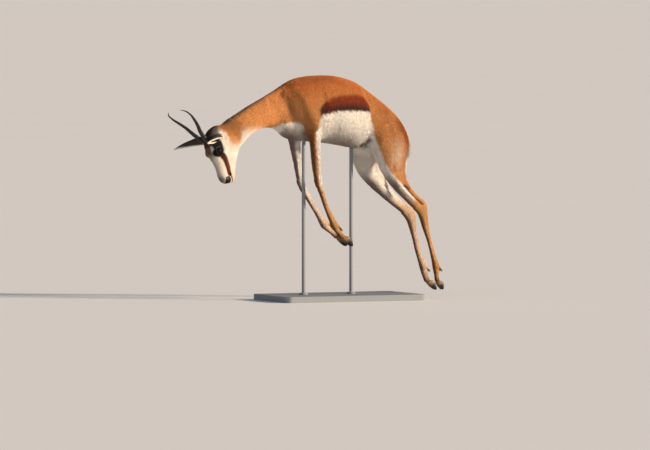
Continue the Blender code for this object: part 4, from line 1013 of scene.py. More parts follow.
def coat_material(name, on_hair):
    """Short antelope fur: matt and warm, with fine streaks of light and dark.

    The mesh carries its colour and the share of bare moist skin.  Noise stretched 3 to 1 down
    the body, 20 mm across, varies the tone as the ruffles of lying hair do, and 1 mm noise
    stands for the single hairs.
    """
    made, tree, shader = start_material(name, {"Specular IOR Level": 0.18, "Sheen Weight": 0.06,
                                               "Sheen Roughness": 0.45})
    place = add_node(tree, "ShaderNodeTexCoord").outputs["Object"]
    drawn = add_node(tree, "ShaderNodeAttribute", {"attribute_name": "marking"})
    ruffle = add_node(tree, "ShaderNodeMapping", {"Scale": (60.0, 60.0, 20.0)}, {"Vector": place})
    tone = add_node(tree, "ShaderNodeTexNoise", {"Scale": 1.0, "Detail": 4.0},
                    {"Vector": ruffle.outputs["Vector"]})
    fine = add_node(tree, "ShaderNodeTexNoise", {"Scale": 900.0, "Detail": 2.0}, {"Vector": place})
    streak = add_node(tree, "ShaderNodeMapRange", {"To Min": 0.72, "To Max": 1.25},
                      {"Value": tone.outputs["Fac"]})
    tinted = add_node(tree, "ShaderNodeMix", {**TINTING, 0: 0.60},
                      {6: drawn.outputs["Color"], 7: streak.outputs["Result"]})
    colour = tinted.outputs[2]
    if on_hair:
        strand = add_node(tree, "ShaderNodeAttribute", {"attribute_name": "strand"})
        lift = add_node(tree, "ShaderNodeMapRange", {"To Min": 0.76, "To Max": 1.16},
                        {"Value": strand.outputs["Fac"]})
        lifted = add_node(tree, "ShaderNodeMix", {**TINTING, 0: 0.85},
                          {6: colour, 7: lift.outputs["Result"]})
        colour = lifted.outputs[2]
    rough = add_node(tree, "ShaderNodeMapRange", {"To Min": 0.66, "To Max": 0.36},
                     {"Value": drawn.outputs["Alpha"]})
    bump = add_node(tree, "ShaderNodeBump", {"Strength": 0.35, "Distance": 0.0008},
                    {"Height": fine.outputs["Fac"]})
    join(tree, shader, {"Base Color": colour, "Roughness": rough.outputs["Result"],
                        "Normal": bump.outputs["Normal"]})
    return made


def hair_material(name, root, tip):
    """Long soft hair: a slight gloss along each lock, darker at the root."""
    made, tree, shader = start_material(name, {"Roughness": 0.50, "Specular IOR Level": 0.30,
                                               "Sheen Weight": 0.12})
    strand = add_node(tree, "ShaderNodeAttribute", {"attribute_name": "strand"})
    shade = add_node(tree, "ShaderNodeMix", {"data_type": "RGBA", 6: (*root, 1.0), 7: (*tip, 1.0)},
                     {0: strand.outputs["Fac"]})
    join(tree, shader, {"Base Color": shade.outputs[2]})
    return made


def horn_material(name, dark, worn):
    """Keratin: black and satin, with fine long fibres and a little wear on raised crests."""
    made, tree, shader = start_material(name, {"IOR": 1.55, "Specular IOR Level": 0.35})
    layout = add_node(tree, "ShaderNodeUVMap", {"uv_map": "length"}).outputs["UV"]
    fibres = add_node(tree, "ShaderNodeMapping", {"Scale": (60.0, 6.0, 1.0)}, {"Vector": layout})
    grain = add_node(tree, "ShaderNodeTexNoise", {"Scale": 3.0, "Detail": 4.0},
                     {"Vector": fibres.outputs["Vector"]})
    crest = add_node(tree, "ShaderNodeAttribute", {"attribute_name": "crest"})
    share = add_node(tree, "ShaderNodeMath", {"operation": "MULTIPLY"},
                     {0: crest.outputs["Fac"], 1: grain.outputs["Fac"]})
    shade = add_node(tree, "ShaderNodeMix", {"data_type": "RGBA", 6: (*dark, 1.0), 7: (*worn, 1.0)},
                     {0: share.outputs[0]})
    bump = add_node(tree, "ShaderNodeBump", {"Strength": 0.4, "Distance": 0.0006},
                    {"Height": grain.outputs["Fac"]})
    rough = add_node(tree, "ShaderNodeMapRange", {"To Min": 0.40, "To Max": 0.62},
                     {"Value": grain.outputs["Fac"]})
    join(tree, shader, {"Base Color": shade.outputs[2], "Roughness": rough.outputs["Result"],
                        "Normal": bump.outputs["Normal"]})
    return made


def eye_material(name, pupil, iris, rim):
    """Wet eyeball: a clear gloss over nearly black, with a dark brown iris that shows close by."""
    made, tree, shader = start_material(name, {"Roughness": 0.45, "Specular IOR Level": 0.08,
                                               "Coat Weight": 0.28, "Coat Roughness": 0.02})
    share = add_node(tree, "ShaderNodeAttribute", {"attribute_name": "gaze"})
    parts = add_node(tree, "ShaderNodeSeparateColor", links={"Color": share.outputs["Color"]})
    ring = add_node(tree, "ShaderNodeMix", {"data_type": "RGBA", 6: (*rim, 1.0), 7: (*iris, 1.0)},
                    {0: parts.outputs["Green"]})
    whole = add_node(tree, "ShaderNodeMix", {"data_type": "RGBA", 7: (*pupil, 1.0)},
                     {0: parts.outputs["Red"], 6: ring.outputs[2]})
    join(tree, shader, {"Base Color": whole.outputs[2]})
    return made


def bare_material(name, shade):
    """Bare dark skin of lids: fine grain and a moist satin shine."""
    made, tree, shader = start_material(name, {"Roughness": 0.62, "Specular IOR Level": 0.14,
                                               "Base Color": (*shade, 1.0)})
    place = add_node(tree, "ShaderNodeTexCoord").outputs["Object"]
    grain = add_node(tree, "ShaderNodeTexVoronoi", {"Scale": 900.0}, {"Vector": place})
    bump = add_node(tree, "ShaderNodeBump", {"Strength": 0.25, "Distance": 0.0003},
                    {"Height": grain.outputs["Distance"]})
    join(tree, shader, {"Normal": bump.outputs["Normal"]})
    return made


def mottled_paint(tree, grain, shade, low, high):
    """Colour output: a shade that the grain makes a little darker or lighter."""
    tint = add_node(tree, "ShaderNodeMapRange", {"To Min": low, "To Max": high},
                    {"Value": grain.outputs["Fac"]})
    mottled = add_node(tree, "ShaderNodeMix", {**TINTING, 0: 1.0, 6: (*shade, 1.0)},
                       {7: tint.outputs["Result"]})
    return mottled.outputs[2]


def paint_material(name, shade, metal):
    """Grey satin paint gone nearly matt: an even dull sheen, with roller grain, finer on the board."""
    made, tree, shader = start_material(name, {"Roughness": 0.72, "Specular IOR Level": 0.2})
    place = add_node(tree, "ShaderNodeTexCoord").outputs["Object"]
    grain = add_node(tree, "ShaderNodeTexNoise", {"Scale": 60.0 if metal else 320.0, "Detail": 3.0},
                     {"Vector": place})
    bump = add_node(tree, "ShaderNodeBump", {"Strength": 0.2, "Distance": 0.0003},
                    {"Height": grain.outputs["Fac"]})
    join(tree, shader, {"Base Color": mottled_paint(tree, grain, shade, 0.92, 1.08),
                        "Normal": bump.outputs["Normal"]})
    return made


def floor_material(shade):
    """Matt studio floor with broad faint unevenness."""
    made, tree, shader = start_material("pale studio floor", {"Roughness": 0.9,
                                                              "Specular IOR Level": 0.1})
    place = add_node(tree, "ShaderNodeTexCoord").outputs["Object"]
    grain = add_node(tree, "ShaderNodeTexNoise", {"Scale": 0.4, "Detail": 2.0}, {"Vector": place})
    join(tree, shader, {"Base Color": mottled_paint(tree, grain, shade, 0.985, 1.015)})
    return made


# Coat

# Side of the patch of map that one lock takes, as a share of the whole map
PATCH_SIZE = 0.003


def scatter(item, spacing_area, random):
    """Evenly spread places on a mesh: one for each share of area that spacing_area gives.

    Triangles are walked in order and a place falls wherever the running sum of area over
    spacing passes a whole number, at a random point of that triangle.
    """
    item.data.calc_loop_triangles()
    corners = read_rows(item.data.loop_triangles, "vertices", 3, np.int32)
    places = read_points(item)
    a, b, c = (places[corners[:, part]] for part in range(3))
    area = 0.5 * np.linalg.norm(np.cross(b - a, c - a), axis=1)
    wanted = area / spacing_area[corners].mean(axis=1)
    running = np.cumsum(wanted)
    marks = np.arange(int(running[-1])) + random.random(int(running[-1]))
    chosen = np.searchsorted(running, np.minimum(marks, running[-1] - 1e-9))
    first, second = random.random(len(chosen)), random.random(len(chosen))
    fold = first + second > 1
    first[fold], second[fold] = 1 - first[fold], 1 - second[fold]
    weights = np.stack([1 - first - second, first, second], axis=1)
    return corners[chosen], weights


def blend_at(values, corners, weights):
    """Vertex values at scattered places."""
    return (values[corners] * weights[..., None]).sum(axis=1)


def tuft_points(roots, normals, lies, length, width, rise, sway):
    """Tufts as closed spindles: a sunk root, a ring of three points and a tip.

    The ring stands at two fifths of the length, raised from the skin, and the tip bends
    back towards the skin and sways to one side.
    """
    side = np.cross(lies, normals)
    length, width, rise, sway = (part[:, None] for part in (length, width, rise, sway))
    root = roots - normals * 0.0006
    middle = roots + lies * length * 0.40 + normals * rise * 0.75 + side * sway * 0.35
    tip = roots + lies * length + normals * rise + side * sway
    thick = width * 0.22
    left = middle - side * width * 0.5 - normals * thick
    right = middle + side * width * 0.5 - normals * thick
    top = middle + normals * thick
    return np.stack([root, left, top, right, tip], axis=1)


def shell_uv(skin):
    """Lookup from places near the skin to an unwrap of the skin's own shape.

    A coarse copy of the skin is unwrapped, and a place takes the map of its nearest face.
    """
    copy = skin.copy()
    copy.data = skin.data.copy()
    bpy.context.scene.collection.objects.link(copy)
    thin = copy.modifiers.new("Thin", "DECIMATE")
    thin.ratio = 0.06
    apply_modifiers(copy)
    bpy.ops.object.select_all(action="DESELECT")
    bpy.context.view_layer.objects.active = copy
    copy.select_set(True)
    bpy.ops.object.mode_set(mode="EDIT")
    bpy.ops.mesh.select_all(action="SELECT")
    bpy.ops.mesh.quads_convert_to_tris()
    bpy.ops.uv.smart_project(angle_limit=math.radians(66), island_margin=0.003)
    bpy.ops.object.mode_set(mode="OBJECT")
    mesh = copy.data
    layout = read_rows(mesh.uv_layers.active.data, "uv", 2)
    corners = read_corners(mesh)
    points = read_points(copy)
    tree = BVHTree.FromPolygons([tuple(point) for point in points], corners.reshape(-1, 3).tolist())
    result = (tree, points[corners].reshape(-1, 3, 3), layout.reshape(-1, 3, 2))
    bpy.data.objects.remove(copy, do_unlink=True)
    bpy.data.meshes.remove(mesh)
    return result


def map_places(lookup, places):
    """Map position of each place, by its weights in the nearest face of the coarse skin."""
    tree, corners, layout = lookup
    found = [tree.find_nearest(place)[2] for place in places.tolist()]
    a, b, c = corners[found, 0], corners[found, 1], corners[found, 2]
    normal = np.cross(b - a, c - a)
    size = np.maximum((normal * normal).sum(axis=1), 1e-18)
    first = (np.cross(c - b, places - b) * normal).sum(axis=1) / size
    second = (np.cross(a - c, places - c) * normal).sum(axis=1) / size
    weights = np.clip(np.stack([first, second, 1 - first - second], axis=1), 0.0, 1.0)
    weights = weights / weights.sum(axis=1, keepdims=True)
    return (layout[found] * weights[..., None]).sum(axis=1)


def dress(name, points, rings, marks, strand, centres, shader):
    """Coat piece from locks, each given as root, rings of three points and tip.

    Each lock's map is a small patch at its root's place on the unwrapped skin.
    """
    count, size = points.shape[0], points.shape[1]
    start = np.arange(count)[:, None] * size
    faces = []
    for here, after in ((1, 2), (2, 3), (3, 1)):
        last = 3 * (rings - 1)
        faces.append(np.array([0, here, after]) + start)
        faces.append(np.array([last + after, last + here, size - 1]) + start)
        for low in range(0, last, 3):
            high = low + 3
            faces.append(np.array([low + here, high + here, high + after]) + start)
            faces.append(np.array([low + here, high + after, low + after]) + start)
    piece = make_piece(name, points.reshape(-1, 3), [np.vstack(faces)], shader)
    if marks is not None:
        write_colours(piece, "marking", np.repeat(marks, size, axis=0))
    write_values(piece, "strand", strand)
    across = np.array([0.0] + [-0.5, 0.0, 0.5] * rings + [0.0])
    along = np.concatenate([[0.0], np.repeat(0.5 + 0.3 * np.arange(rings) / rings, 3), [1.0]]) - 0.5
    patch = np.stack([across, along], axis=1) * PATCH_SIZE
    layout = (centres[:, None, :] + patch[None, :, :]).reshape(-1, 2)
    write_map(piece, "OFBake", np.clip(layout, 0.0, 1.0))
    return piece


def hair_sizes(places):
    """Hair length and tuft width at each place: short on face and feet, longer below."""
    x, _, z = (places - SHIFT).T
    s, t, _ = head_frame(places)
    length = 0.0080 + 0.0055 * smoothstep(0.42, 0.62, z)
    length = length + 0.004 * smoothstep(0.70, 0.64, z) * smoothstep(0.55, 0.62, z) * (x < 0.15)
    face = smoothstep(-0.03, 0.05, s) * smoothstep(-0.39, -0.42, x)
    length = length * (1 - face) + 0.0060 * face
    muzzle = smoothstep(0.12, 0.19, s) * face
    length = length * (1 - muzzle) + 0.0036 * muzzle
    throat = smoothstep(-0.035, -0.060, t) * smoothstep(0.13, 0.06, s) * (x < -0.39)
    length = length + 0.005 * throat
    ears = ear_weight(places)
    length = length * (1 - ears) + 0.0042 * ears
    length = length * (1 - 0.25 * smoothstep(0.32, 0.26, z))
    return length, 0.0006 + 0.070 * length


def coat_regions(roots, s):
    """Numbers of the tufts in each part of the body, by its name."""
    x, y, z = (roots - SHIFT).T
    right = y > 0
    tests = {
        "head": (s > -0.03) & (x < HEAD_END),
        "neck": x < -0.27,
        "forequarters_left": (x < 0.03) & (z > 0.62) & ~right,
        "forequarters_right": (x < 0.03) & (z > 0.62),
        "hindquarters_left": (z > 0.56) & ~right,
        "hindquarters_right": z > 0.56,
        "forelegs": x < 0.085,
        "hindlegs": np.full(len(x), True),
    }
    region = np.select(list(tests.values()), range(len(tests)))
    return {name: np.flatnonzero(region == number) for number, name in enumerate(tests)}


def build_coat(skin, coat, shader):
    """Short fur over the whole skin as closed tufts, in pieces by part of the body.

    A tuft takes the colour of a place about a fifth of its length from its root, so that
    markings have the broken edges of real fur.
    """
    random = np.random.default_rng(SEED)
    places, normals = read_points(skin), read_normals(skin)
    lies = coat_lie(places, normals, read_edges(skin))
    length, width = hair_sizes(places)
    corners, weights = scatter(skin, length * width / coat.cover, random)
    roots = blend_at(places, corners, weights)
    out = unit(blend_at(normals, corners, weights))
    lie = unit(along_skin(blend_at(lies, corners, weights), out))
    blur = random.normal(0.0, 1.0, roots.shape) * hair_sizes(roots)[0][:, None] * 0.18
    marks = markings(roots + along_skin(blur, out), out, coat_tones(coat))
    s, t, b = head_frame(roots)
    es, et, eb = EYE_MIDDLE
    away = np.sqrt((s - es)**2 + (t - et)**2 + (np.abs(b) - eb)**2)
    keep = (marks[:, 3] < 0.5) & (away > EYE_RADIUS + 0.0006)
    roots, out, lie, marks, s = roots[keep], out[keep], lie[keep], marks[keep], s[keep]
    count = len(roots)
    lie = unit(lie + np.cross(lie, out) * random.normal(0.0, 0.16, count)[:, None])
    length, width = hair_sizes(roots)
    length = length * random.uniform(0.75, 1.25, count)
    width = width * random.uniform(0.7, 1.3, count)
    face = smoothstep(-0.03, 0.03, s) * (roots[:, 0] - SHIFT[0] < HEAD_END)
    rise = length * random.uniform(0.04, 0.11, count) * (1 - 0.5 * face)
    sway = length * random.normal(0.0, 0.06, count)
    points = tuft_points(roots, out, lie, length, width, rise, sway)
    strand = random.uniform(0.15, 0.75, count)[:, None] + np.array([-0.15, 0.0, 0.05, 0.0, 0.22])
    centres = map_places(shell_uv(skin), roots)
    for name, chosen in coat_regions(roots, s).items():
        parts = max(1, math.ceil(len(chosen) / LARGEST_COAT_PIECE))
        for part, numbers in enumerate(np.array_split(chosen, parts)):
            dress(f"coat_{name}_{part + 1}", points[numbers], 1, marks[numbers], strand[numbers],
                  centres[numbers], shader)


def long_locks(roots, directions, normals, length, width, droop, random, rings=4):
    """Long tapered locks as closed tubes of three sides, bent from their root to droop."""
    count = len(roots)
    side = unit(np.cross(directions, normals))
    shares = np.linspace(0.12, 0.88, rings)
    widths = np.interp(shares, [0.0, 0.2, 0.6, 1.0], [0.6, 1.0, 0.8, 0.15])
    wave = random.normal(0.0, 0.05, count)[:, None]
    points = [roots - normals * 0.0008]
    for share, wide in zip(shares, widths):
        middle = (roots + directions * (length * share)[:, None]
                  + normals * (droop * (share - share**2 * 0.85))[:, None]
                  + side * wave * (length * share**2)[:, None])
        half = (width * wide * 0.5)[:, None]
        points.extend([middle - side * half - normals * half * 0.35,
                       middle + normals * half * 0.45,
                       middle + side * half - normals * half * 0.35])
    points.append(roots + directions * length[:, None] + normals * (droop * 0.15)[:, None]
                  + side * wave * length[:, None])
    return np.stack(points, axis=1)


# Property groups

class SpringbokForm(bpy.types.PropertyGroup):
    """Fineness of the skin."""

    body_cell: FloatProperty(name="Body cell", description="Mesh size on trunk and neck",
                             default=0.0062, unit="LENGTH")
    leg_cell: FloatProperty(name="Leg cell", description="Mesh size on the lower legs",
                            default=0.0034, unit="LENGTH")
    head_cell: FloatProperty(name="Head cell", description="Mesh size on head and ears",
                             default=0.0020, unit="LENGTH")


def tone(name, description, code):
    """Colour property whose first value is a hex code."""
    return FloatVectorProperty(name=name, description=description, subtype="COLOR",
                               default=linear(code))


class SpringbokCoat(bpy.types.PropertyGroup):
    """Colours and thickness of the coat."""

    cover: FloatProperty(name="Cover", description="Layers of tufts over any spot", default=2.85)
    tawny: tone("Tawny", "Sides, neck and outer legs", "#CB8A4E")
    russet: tone("Russet", "Back and rump", "#B9682E")
    band: tone("Band", "Upper part of the flank band and face stripe", "#8B3408")
    # band_low also colours the painted shadow in the groin fold
    band_low: tone("Band below", "Lower edge of the flank band", "#381507")
    ochre: tone("Ochre", "Shanks", "#D6A568")
    # brown also colours painted shade: on top of the back, on the leg fronts in part, and in the hind
    # leg's creases
    brown: tone("Brown", "Forehead and fronts of the shanks", "#5C3016")
    black: tone("Black", "Round the eye and the horn roots", "#17110F")
    # grey is partly painted shade on the nape and crown, and wholly painted shade on the bridge and top
    # of the nose
    grey: tone("Grey", "Ears, crown, nape and nose top", "#5E5249")
    white: tone("White", "Belly, face and inner legs", "#F3ECE0")
    bare: tone("Bare skin", "Nose, lips and lids", "#15100F")


class SpringbokHard(bpy.types.PropertyGroup):
    """Horns, hooves, eyes and stand."""

    horn: tone("Horn", "Colour of horns", "#100D0C")
    worn: tone("Worn horn", "Crests of the rings", "#2E2824")
    dusty: tone("Dusty hoof", "Hoof wall below the crown", "#A07648")
    iris: tone("Iris", "Colour of the iris", "#110804")
    paint: tone("Stand paint", "Colour of base and rods", "#8C8F91")
    horn_rings: IntProperty(name="Horn rings", description="Raised rings on each horn", default=17)


class SpringbokStage(bpy.types.PropertyGroup):
    """Light and floor."""

    key: FloatProperty(name="Key light", description="Strength of the warm light", default=5.9)
    fill: FloatProperty(name="Sky light", description="Strength of the light all round",
                        default=0.27)
    floor: tone("Floor", "Colour of the floor", "#F1EFEB")


def coat_tones(coat):
    """Colours of the coat by name."""
    names = ("tawny", "russet", "band", "band_low", "ochre", "brown", "black", "grey", "white", "bare")
    return {name: np.array(getattr(coat, name)) for name in names}


# Operators

class SpringbokAddSkin(bpy.types.Operator):
    """One skin in place of all solids of flesh, with its markings"""

    bl_idname = "springbok.add_skin"
    bl_label = "Skin"

    def execute(self, context):
        skin = build_skin(context.scene.springbok_form)
        tones = coat_tones(context.scene.springbok_coat)
        skin.data.materials.clear()
        skin.data.materials.append(coat_material("short fur on skin", False))
        write_colours(skin, "marking", markings(read_points(skin), read_normals(skin), tones))
        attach(skin, "root")
        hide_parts(*FLESH)
        return {"FINISHED"}


class SpringbokAddCoat(bpy.types.Operator):
    """Short fur as tufts over the whole skin"""

    bl_idname = "springbok.add_coat"
    bl_label = "Coat"

    def execute(self, context):
        build_coat(bpy.data.objects["skin"], context.scene.springbok_coat,
                   coat_material("short fur tufts", True))
        return {"FINISHED"}


class SpringbokAddLongHair(bpy.types.Operator):
    """Folded crest of long white hair on the rump and dark tuft of the tail"""

    bl_idname = "springbok.add_long_hair"
    bl_label = "Long hair"

    def execute(self, context):
        random = np.random.default_rng(SEED + 1)
        lookup = shell_uv(bpy.data.objects["skin"])

        # Crest: each lock starts on the ridge and points at a place one span further down
        path = curve([(x, 0.0, z) for x, z in CREST], 40) + SHIFT
        count = 1500
        ahead = 41
        index = (random.random(count)**1.15 * (len(path) - ahead - 1)).astype(int)
        root = path[index]
        lie = unit(path[index + ahead] - root)
        out = np.stack([-lie[:, 2], np.zeros(count), lie[:, 0]], axis=1)
        out = out * np.sign(out[:, :1])
        spread = random.normal(0.0, 0.0065, count)
        root = root + SIDEWAYS * spread[:, None] - out * 0.0095
        lie = unit(lie + out * random.uniform(0.00, 0.12, count)[:, None]
                   + SIDEWAYS * (spread * 18)[:, None] * 0.3)
        shader = hair_material("long white hair", linear("#C9BBA2"), linear("#F3EDE2"))
        sizes = ((0.045, 0.072), (0.0016, 0.0030), (0.002, 0.012), (0.3, 1.0))
        crest = self.locks("crest_hair", "coat_white", shader, (root, lie, out), sizes, lookup, random)
        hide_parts("rump_crest")

        # Tail tuft: locks hang from all round the end of the tail
        count = 420
        angle = random.uniform(0, 2 * math.pi, count)
        out = np.stack([np.cos(angle), np.sin(angle), np.zeros(count)], axis=1)
        root = np.array(TAIL_END) + SHIFT + out * random.uniform(0.001, 0.0055, count)[:, None]
        root[:, 2] += random.uniform(-0.004, 0.035, count)
        lie = unit(np.array([0.05, 0.0, -1.0]) + out * random.uniform(0.0, 0.10, count)[:, None])
        shader = hair_material("dark tail hair", linear("#1C110C"), linear("#4A2C1C"))
        sizes = ((0.045, 0.078), (0.0015, 0.0028), (0.001, 0.004), (0.0, 1.0))
        tuft = self.locks("tail_hair", "hair_dark", shader, (root, lie, out), sizes, lookup, random)
        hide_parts("tail_tuft")
        return {"FINISHED"}

    def locks(self, name, slot, shader, strands, sizes, lookup, random):
        """Piece of long locks from their roots, directions and outward sides.

        Length, width, droop and tone of each lock fall between the pairs in sizes.
        """
        root, lie, out = strands
        length, width, droop = (random.uniform(*limits, len(root)) for limits in sizes[:3])
        points = long_locks(root, lie, out, length, width, droop, random)
        tones = random.uniform(*sizes[3], len(root))
        strand = np.repeat(tones[:, None], points.shape[1], axis=1)
        return dress(name, points, 4, None, strand, map_places(lookup, root), shader)


class SpringbokAddEyes(bpy.types.Operator):
    """Dark wet eyeballs, lids and lashes"""

    bl_idname = "springbok.add_eyes"
    bl_label = "Eyes"

    def execute(self, context):
        iris = context.scene.springbok_hard.iris
        ball = eye_material("wet eye", linear("#050304"), iris, linear("#0B0605"))
        bare = bare_material("lid skin", context.scene.springbok_coat.bare)
        lash = hair_material("lashes", linear("#0F0A08"), linear("#1A120E"))
        for side, word in ((1, "left"), (-1, "right")):
            eye = self.globe(side, word, ball)
            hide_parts(f"eye_{word}")
            self.lids(side, word, bare)
            self.lashes(side, word, lash)
        return {"FINISHED"}

    def globe(self, side, word, shader):
        """Eyeball with a cornea that stands 0.6 mm proud of it, and the shares of pupil and iris."""
        es, et, eb = EYE_MIDDLE
        centre = head_point(es, et, side * eb)
        gaze = unit(0.04 * NOSE + 0.16 * BROW + side * LEFT)
        across = unit(NOSE - gaze * (NOSE @ gaze))
        upwards = np.cross(gaze, across)
        lift = np.linspace(0.02, math.pi - 0.02, 48)[:, None]
        radius = EYE_RADIUS * (1 + 0.035 * np.exp(-(lift / 0.55)**4))
        rings = rings_round(centre + radius * np.cos(lift) * gaze, across, upwards,
                            radius * np.sin(lift), turns(64))
        eye = closed_piece(f"eyeball_{word}", rings, shader)
        local = tube(rings)[0] - centre
        u, v = local @ across, local @ upwards
        front = local @ gaze > 0
        pupil = smoothstep(1.15, 0.85, np.hypot(u / 0.0078, v / 0.0040)) * front
        iris = smoothstep(1.05, 0.95, np.hypot(u, v) / 0.0120) * front
        write_colours(eye, "gaze", np.stack([pupil, iris, iris * 0, iris * 0 + 1], axis=1))
        return eye

    def lids(self, side, word, shader):
        """Ring of bare skin that hugs the globe round the opening."""
        es, et, eb = EYE_MIDDLE
        turn = turns(96)
        tall = np.where(np.sin(turn) > 0, LID_RISE, LID_DROP)
        s = es + LID_REACH * np.cos(turn) * (1 + 0.10 * np.maximum(np.cos(turn), 0)**6)
        t = et + tall * np.sin(turn) * (1 - 0.18 * np.cos(turn)**4)
        height = self.globe_height(s, t, EYE_RADIUS + 0.0006)
        middle = head_point(s, t, side * (eb + height))
        outward = unit(middle - head_point(es, et, side * eb))[:, None, :]
        away = unit(np.cos(turn)[:, None] * NOSE + np.sin(turn)[:, None] * BROW)[:, None, :]
        bend = turns(12)[None, :, None]
        thick = 0.0015
        wide = 0.0017
        rings = (middle[:, None, :] + outward * np.cos(bend) * thick
                 + away * (np.sin(bend) * wide + wide * 0.5))
        faces = grid_faces(len(turn) + 1, 12) % (len(turn) * 12)
        lids = make_piece(f"lids_{word}", rings.reshape(-1, 3), [faces], shader)
        face_outwards(lids)

    def lashes(self, side, word, shader):
        """Short locks along the upper lid."""
        es, et, eb = EYE_MIDDLE
        upper = np.linspace(math.pi * 0.12, math.pi * 0.88, 34)
        s = es + LID_REACH * np.cos(upper)
        t = et + LID_RISE * np.sin(upper) + 0.0012
        roots = head_point(s, t, side * (eb + self.globe_height(s, t, EYE_RADIUS) + 0.0012))
        lean = unit(0.9 * BROW + side * LEFT + np.cos(upper)[:, None] * NOSE * 0.5)
        normal = unit(np.cross(lean, np.broadcast_to(NOSE, lean.shape)))
        count = len(roots)
        random = np.random.default_rng(SEED + 2)
        length = 0.0055 * random.uniform(0.8, 1.2, count)
        points = long_locks(roots, lean, normal, length, np.full(count, 0.00055),
                            np.full(count, 0.0012), random, rings=2)
        strand = np.zeros((count, points.shape[1]))
        dress(f"lashes_{word}", points, 2, None, strand, np.full((count, 2), 0.5), shader)

    def globe_height(self, s, t, radius):
        """How far a globe of this radius stands out at places of the head's side."""
        es, et, _ = EYE_MIDDLE
        return np.sqrt(np.maximum(radius**2 - (s - es)**2 - (t - et)**2, 4e-6))


class SpringbokAddHorns(bpy.types.Operator):
    """Ringed lyre-shaped horns"""

    bl_idname = "springbok.add_horns"
    bl_label = "Horns"

    def execute(self, context):
        hard = context.scene.springbok_hard
        shader = horn_material("horn keratin", hard.horn, hard.worn)
        path = curve(HORN, 34)
        share = np.linspace(0.0, 1.0, len(path))
        fade = smoothstep(0.74, 0.60, share) * smoothstep(0.03, 0.08, share)
        crest = np.abs(np.sin(math.pi * (share / 0.74 * hard.horn_rings)))**0.7 * fade
        turn = turns(40)
        for side, word in ((1, "left"), (-1, "right")):
            middle = head_point(path[:, 0], path[:, 1], side * path[:, 2])
            along = unit(np.gradient(middle, axis=0))
            first = unit(np.cross(along, NOSE))
            # Rings stand highest on the front face, where sine of the turn is negative
            front = 0.75 + 0.35 * np.sin(turn)
            radius = (path[:, 3] - 0.0004)[:, None] + 0.0011 * crest[:, None] * front[None, :]
            wide = radius * (1 + 0.05 * np.cos(2 * turn))[None, :]
            rings = rings_round(middle, first, np.cross(along, first), wide, turn)
            horn = closed_piece(f"horn_sheath_{word}", rings, shader)
            write_values(horn, "crest", np.concatenate([np.repeat(crest, len(turn)), [0.0, 0.0]]))
            write_map(horn, "length", tube_map(rings))
            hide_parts(f"horn_{word}")
        return {"FINISHED"}


def tube_map(rings):
    """Map of a closed tube: the share of the turn across and the share of the length along."""
    rows, columns = rings.shape[:2]
    u = np.concatenate([np.tile(np.arange(columns) / columns, rows), [0.5, 0.5]])
    v = np.concatenate([np.repeat(np.linspace(0, 1, rows), columns), [0.0, 1.0]])
    return np.stack([u, v], axis=1)


def side_point(place, y):
    """World place from (x, z) in the drawing and y."""
    return np.array([place[0], y, place[1]]) + SHIFT


def claw_rings(front, back, heel, tip, y, sides=36, count=30):
    """Half hoof: ovals between a front line and a back line, from the crown to the toe.

    Sections grow wider to two thirds of the length and close at the sole, and low ridges
    run round them as a hoof grows.
    """
    share = np.linspace(-0.10, 1.0, count)[:, None]
    within = np.clip(share, 0, 1)
    front, back, heel, tip = (side_point(place, y) for place in (front, back, heel, tip))
    crown = front * 0.76 + back * 0.24
    toe = crown + share * (tip - crown)
    rear = back + share * (heel - back)
    toe = toe - 0.0030 * np.sin(math.pi * within) * unit(rear - toe)
    close = np.sqrt(np.clip(1 - ((share - 0.84) / 0.1601).clip(0, 1)**2, 0.0, 1.0))
    close = (0.22 + 0.78 * close) * (0.80 + 0.20 * smoothstep(-0.10, 0.10, share))
    reach = (toe - rear) * 0.5 * close
    ridge = 1 + 0.012 * np.sin(share * 46.0)
    half = CLAW_HALF_WIDTH * (0.96 + 0.10 * np.sin(math.pi * within * 0.8)) * close * ridge
    turn = turns(sides)
    flat, deep = (np.sign(wave) * np.abs(wave)**0.85 for wave in (np.cos(turn), np.sin(turn)))
    return (((toe + rear) * 0.5)[:, None, :] + reach[:, None, :] * flat[None, :, None]
            + half[:, None, :] * deep[None, :, None] * SIDEWAYS)


def dewclaw_rings(root, tip, y):
    """Small blunt cone, a little flatter than wide, from inside the leg to its tip."""
    share = np.linspace(-0.35, 1.0, 16)[:, None]
    start = side_point(root, y)
    span = side_point(tip, y) - start
    size = DEWCLAW_RADIUS * np.sqrt(np.clip(1.02 - np.clip(share, 0, 1)**3, 0.02, 1))
    across = np.cross(SIDEWAYS, unit(span))
    return rings_round(start + share * span, across, SIDEWAYS * 0.8, size, turns(20))


class SpringbokAddHooves(bpy.types.Operator):
    """Cloven hooves and dewclaws"""

    bl_idname = "springbok.add_hooves"
    bl_label = "Hooves"

    def execute(self, context):
        hard = context.scene.springbok_hard
        shader = horn_material("hoof keratin", hard.horn, hard.dusty)
        for foot, (front, back, heel, tip, y) in HOOVES.items():
            root, end, middle = DEWCLAWS[foot]
            for letter, inward in (("inner", 1), ("outer", -1)):
                shift = inward if y < 0 else -inward
                rings = claw_rings(front, back, heel, tip, y + shift * CLAW_OFFSET)
                claw = self.keratin(f"claw_{foot}_{letter}", rings, shader)
                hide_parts(f"hoof_{foot}_{letter}")
                rings = dewclaw_rings(root, end, middle + shift * DEWCLAW_OFFSET)
                small = self.keratin(f"dew_{foot}_{letter}", rings, shader)
                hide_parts(f"dewclaw_{foot}_{letter}")
        return {"FINISHED"}

    def keratin(self, name, rings, shader):
        """Closed piece with fibres along it, and a dusty wall near the crown."""
        piece = closed_piece(name, rings, shader)
        layout = tube_map(rings)
        write_map(piece, "length", layout)
        write_values(piece, "crest", smoothstep(0.58, 0.16, layout[:, 1]) * 1.5)
        return piece


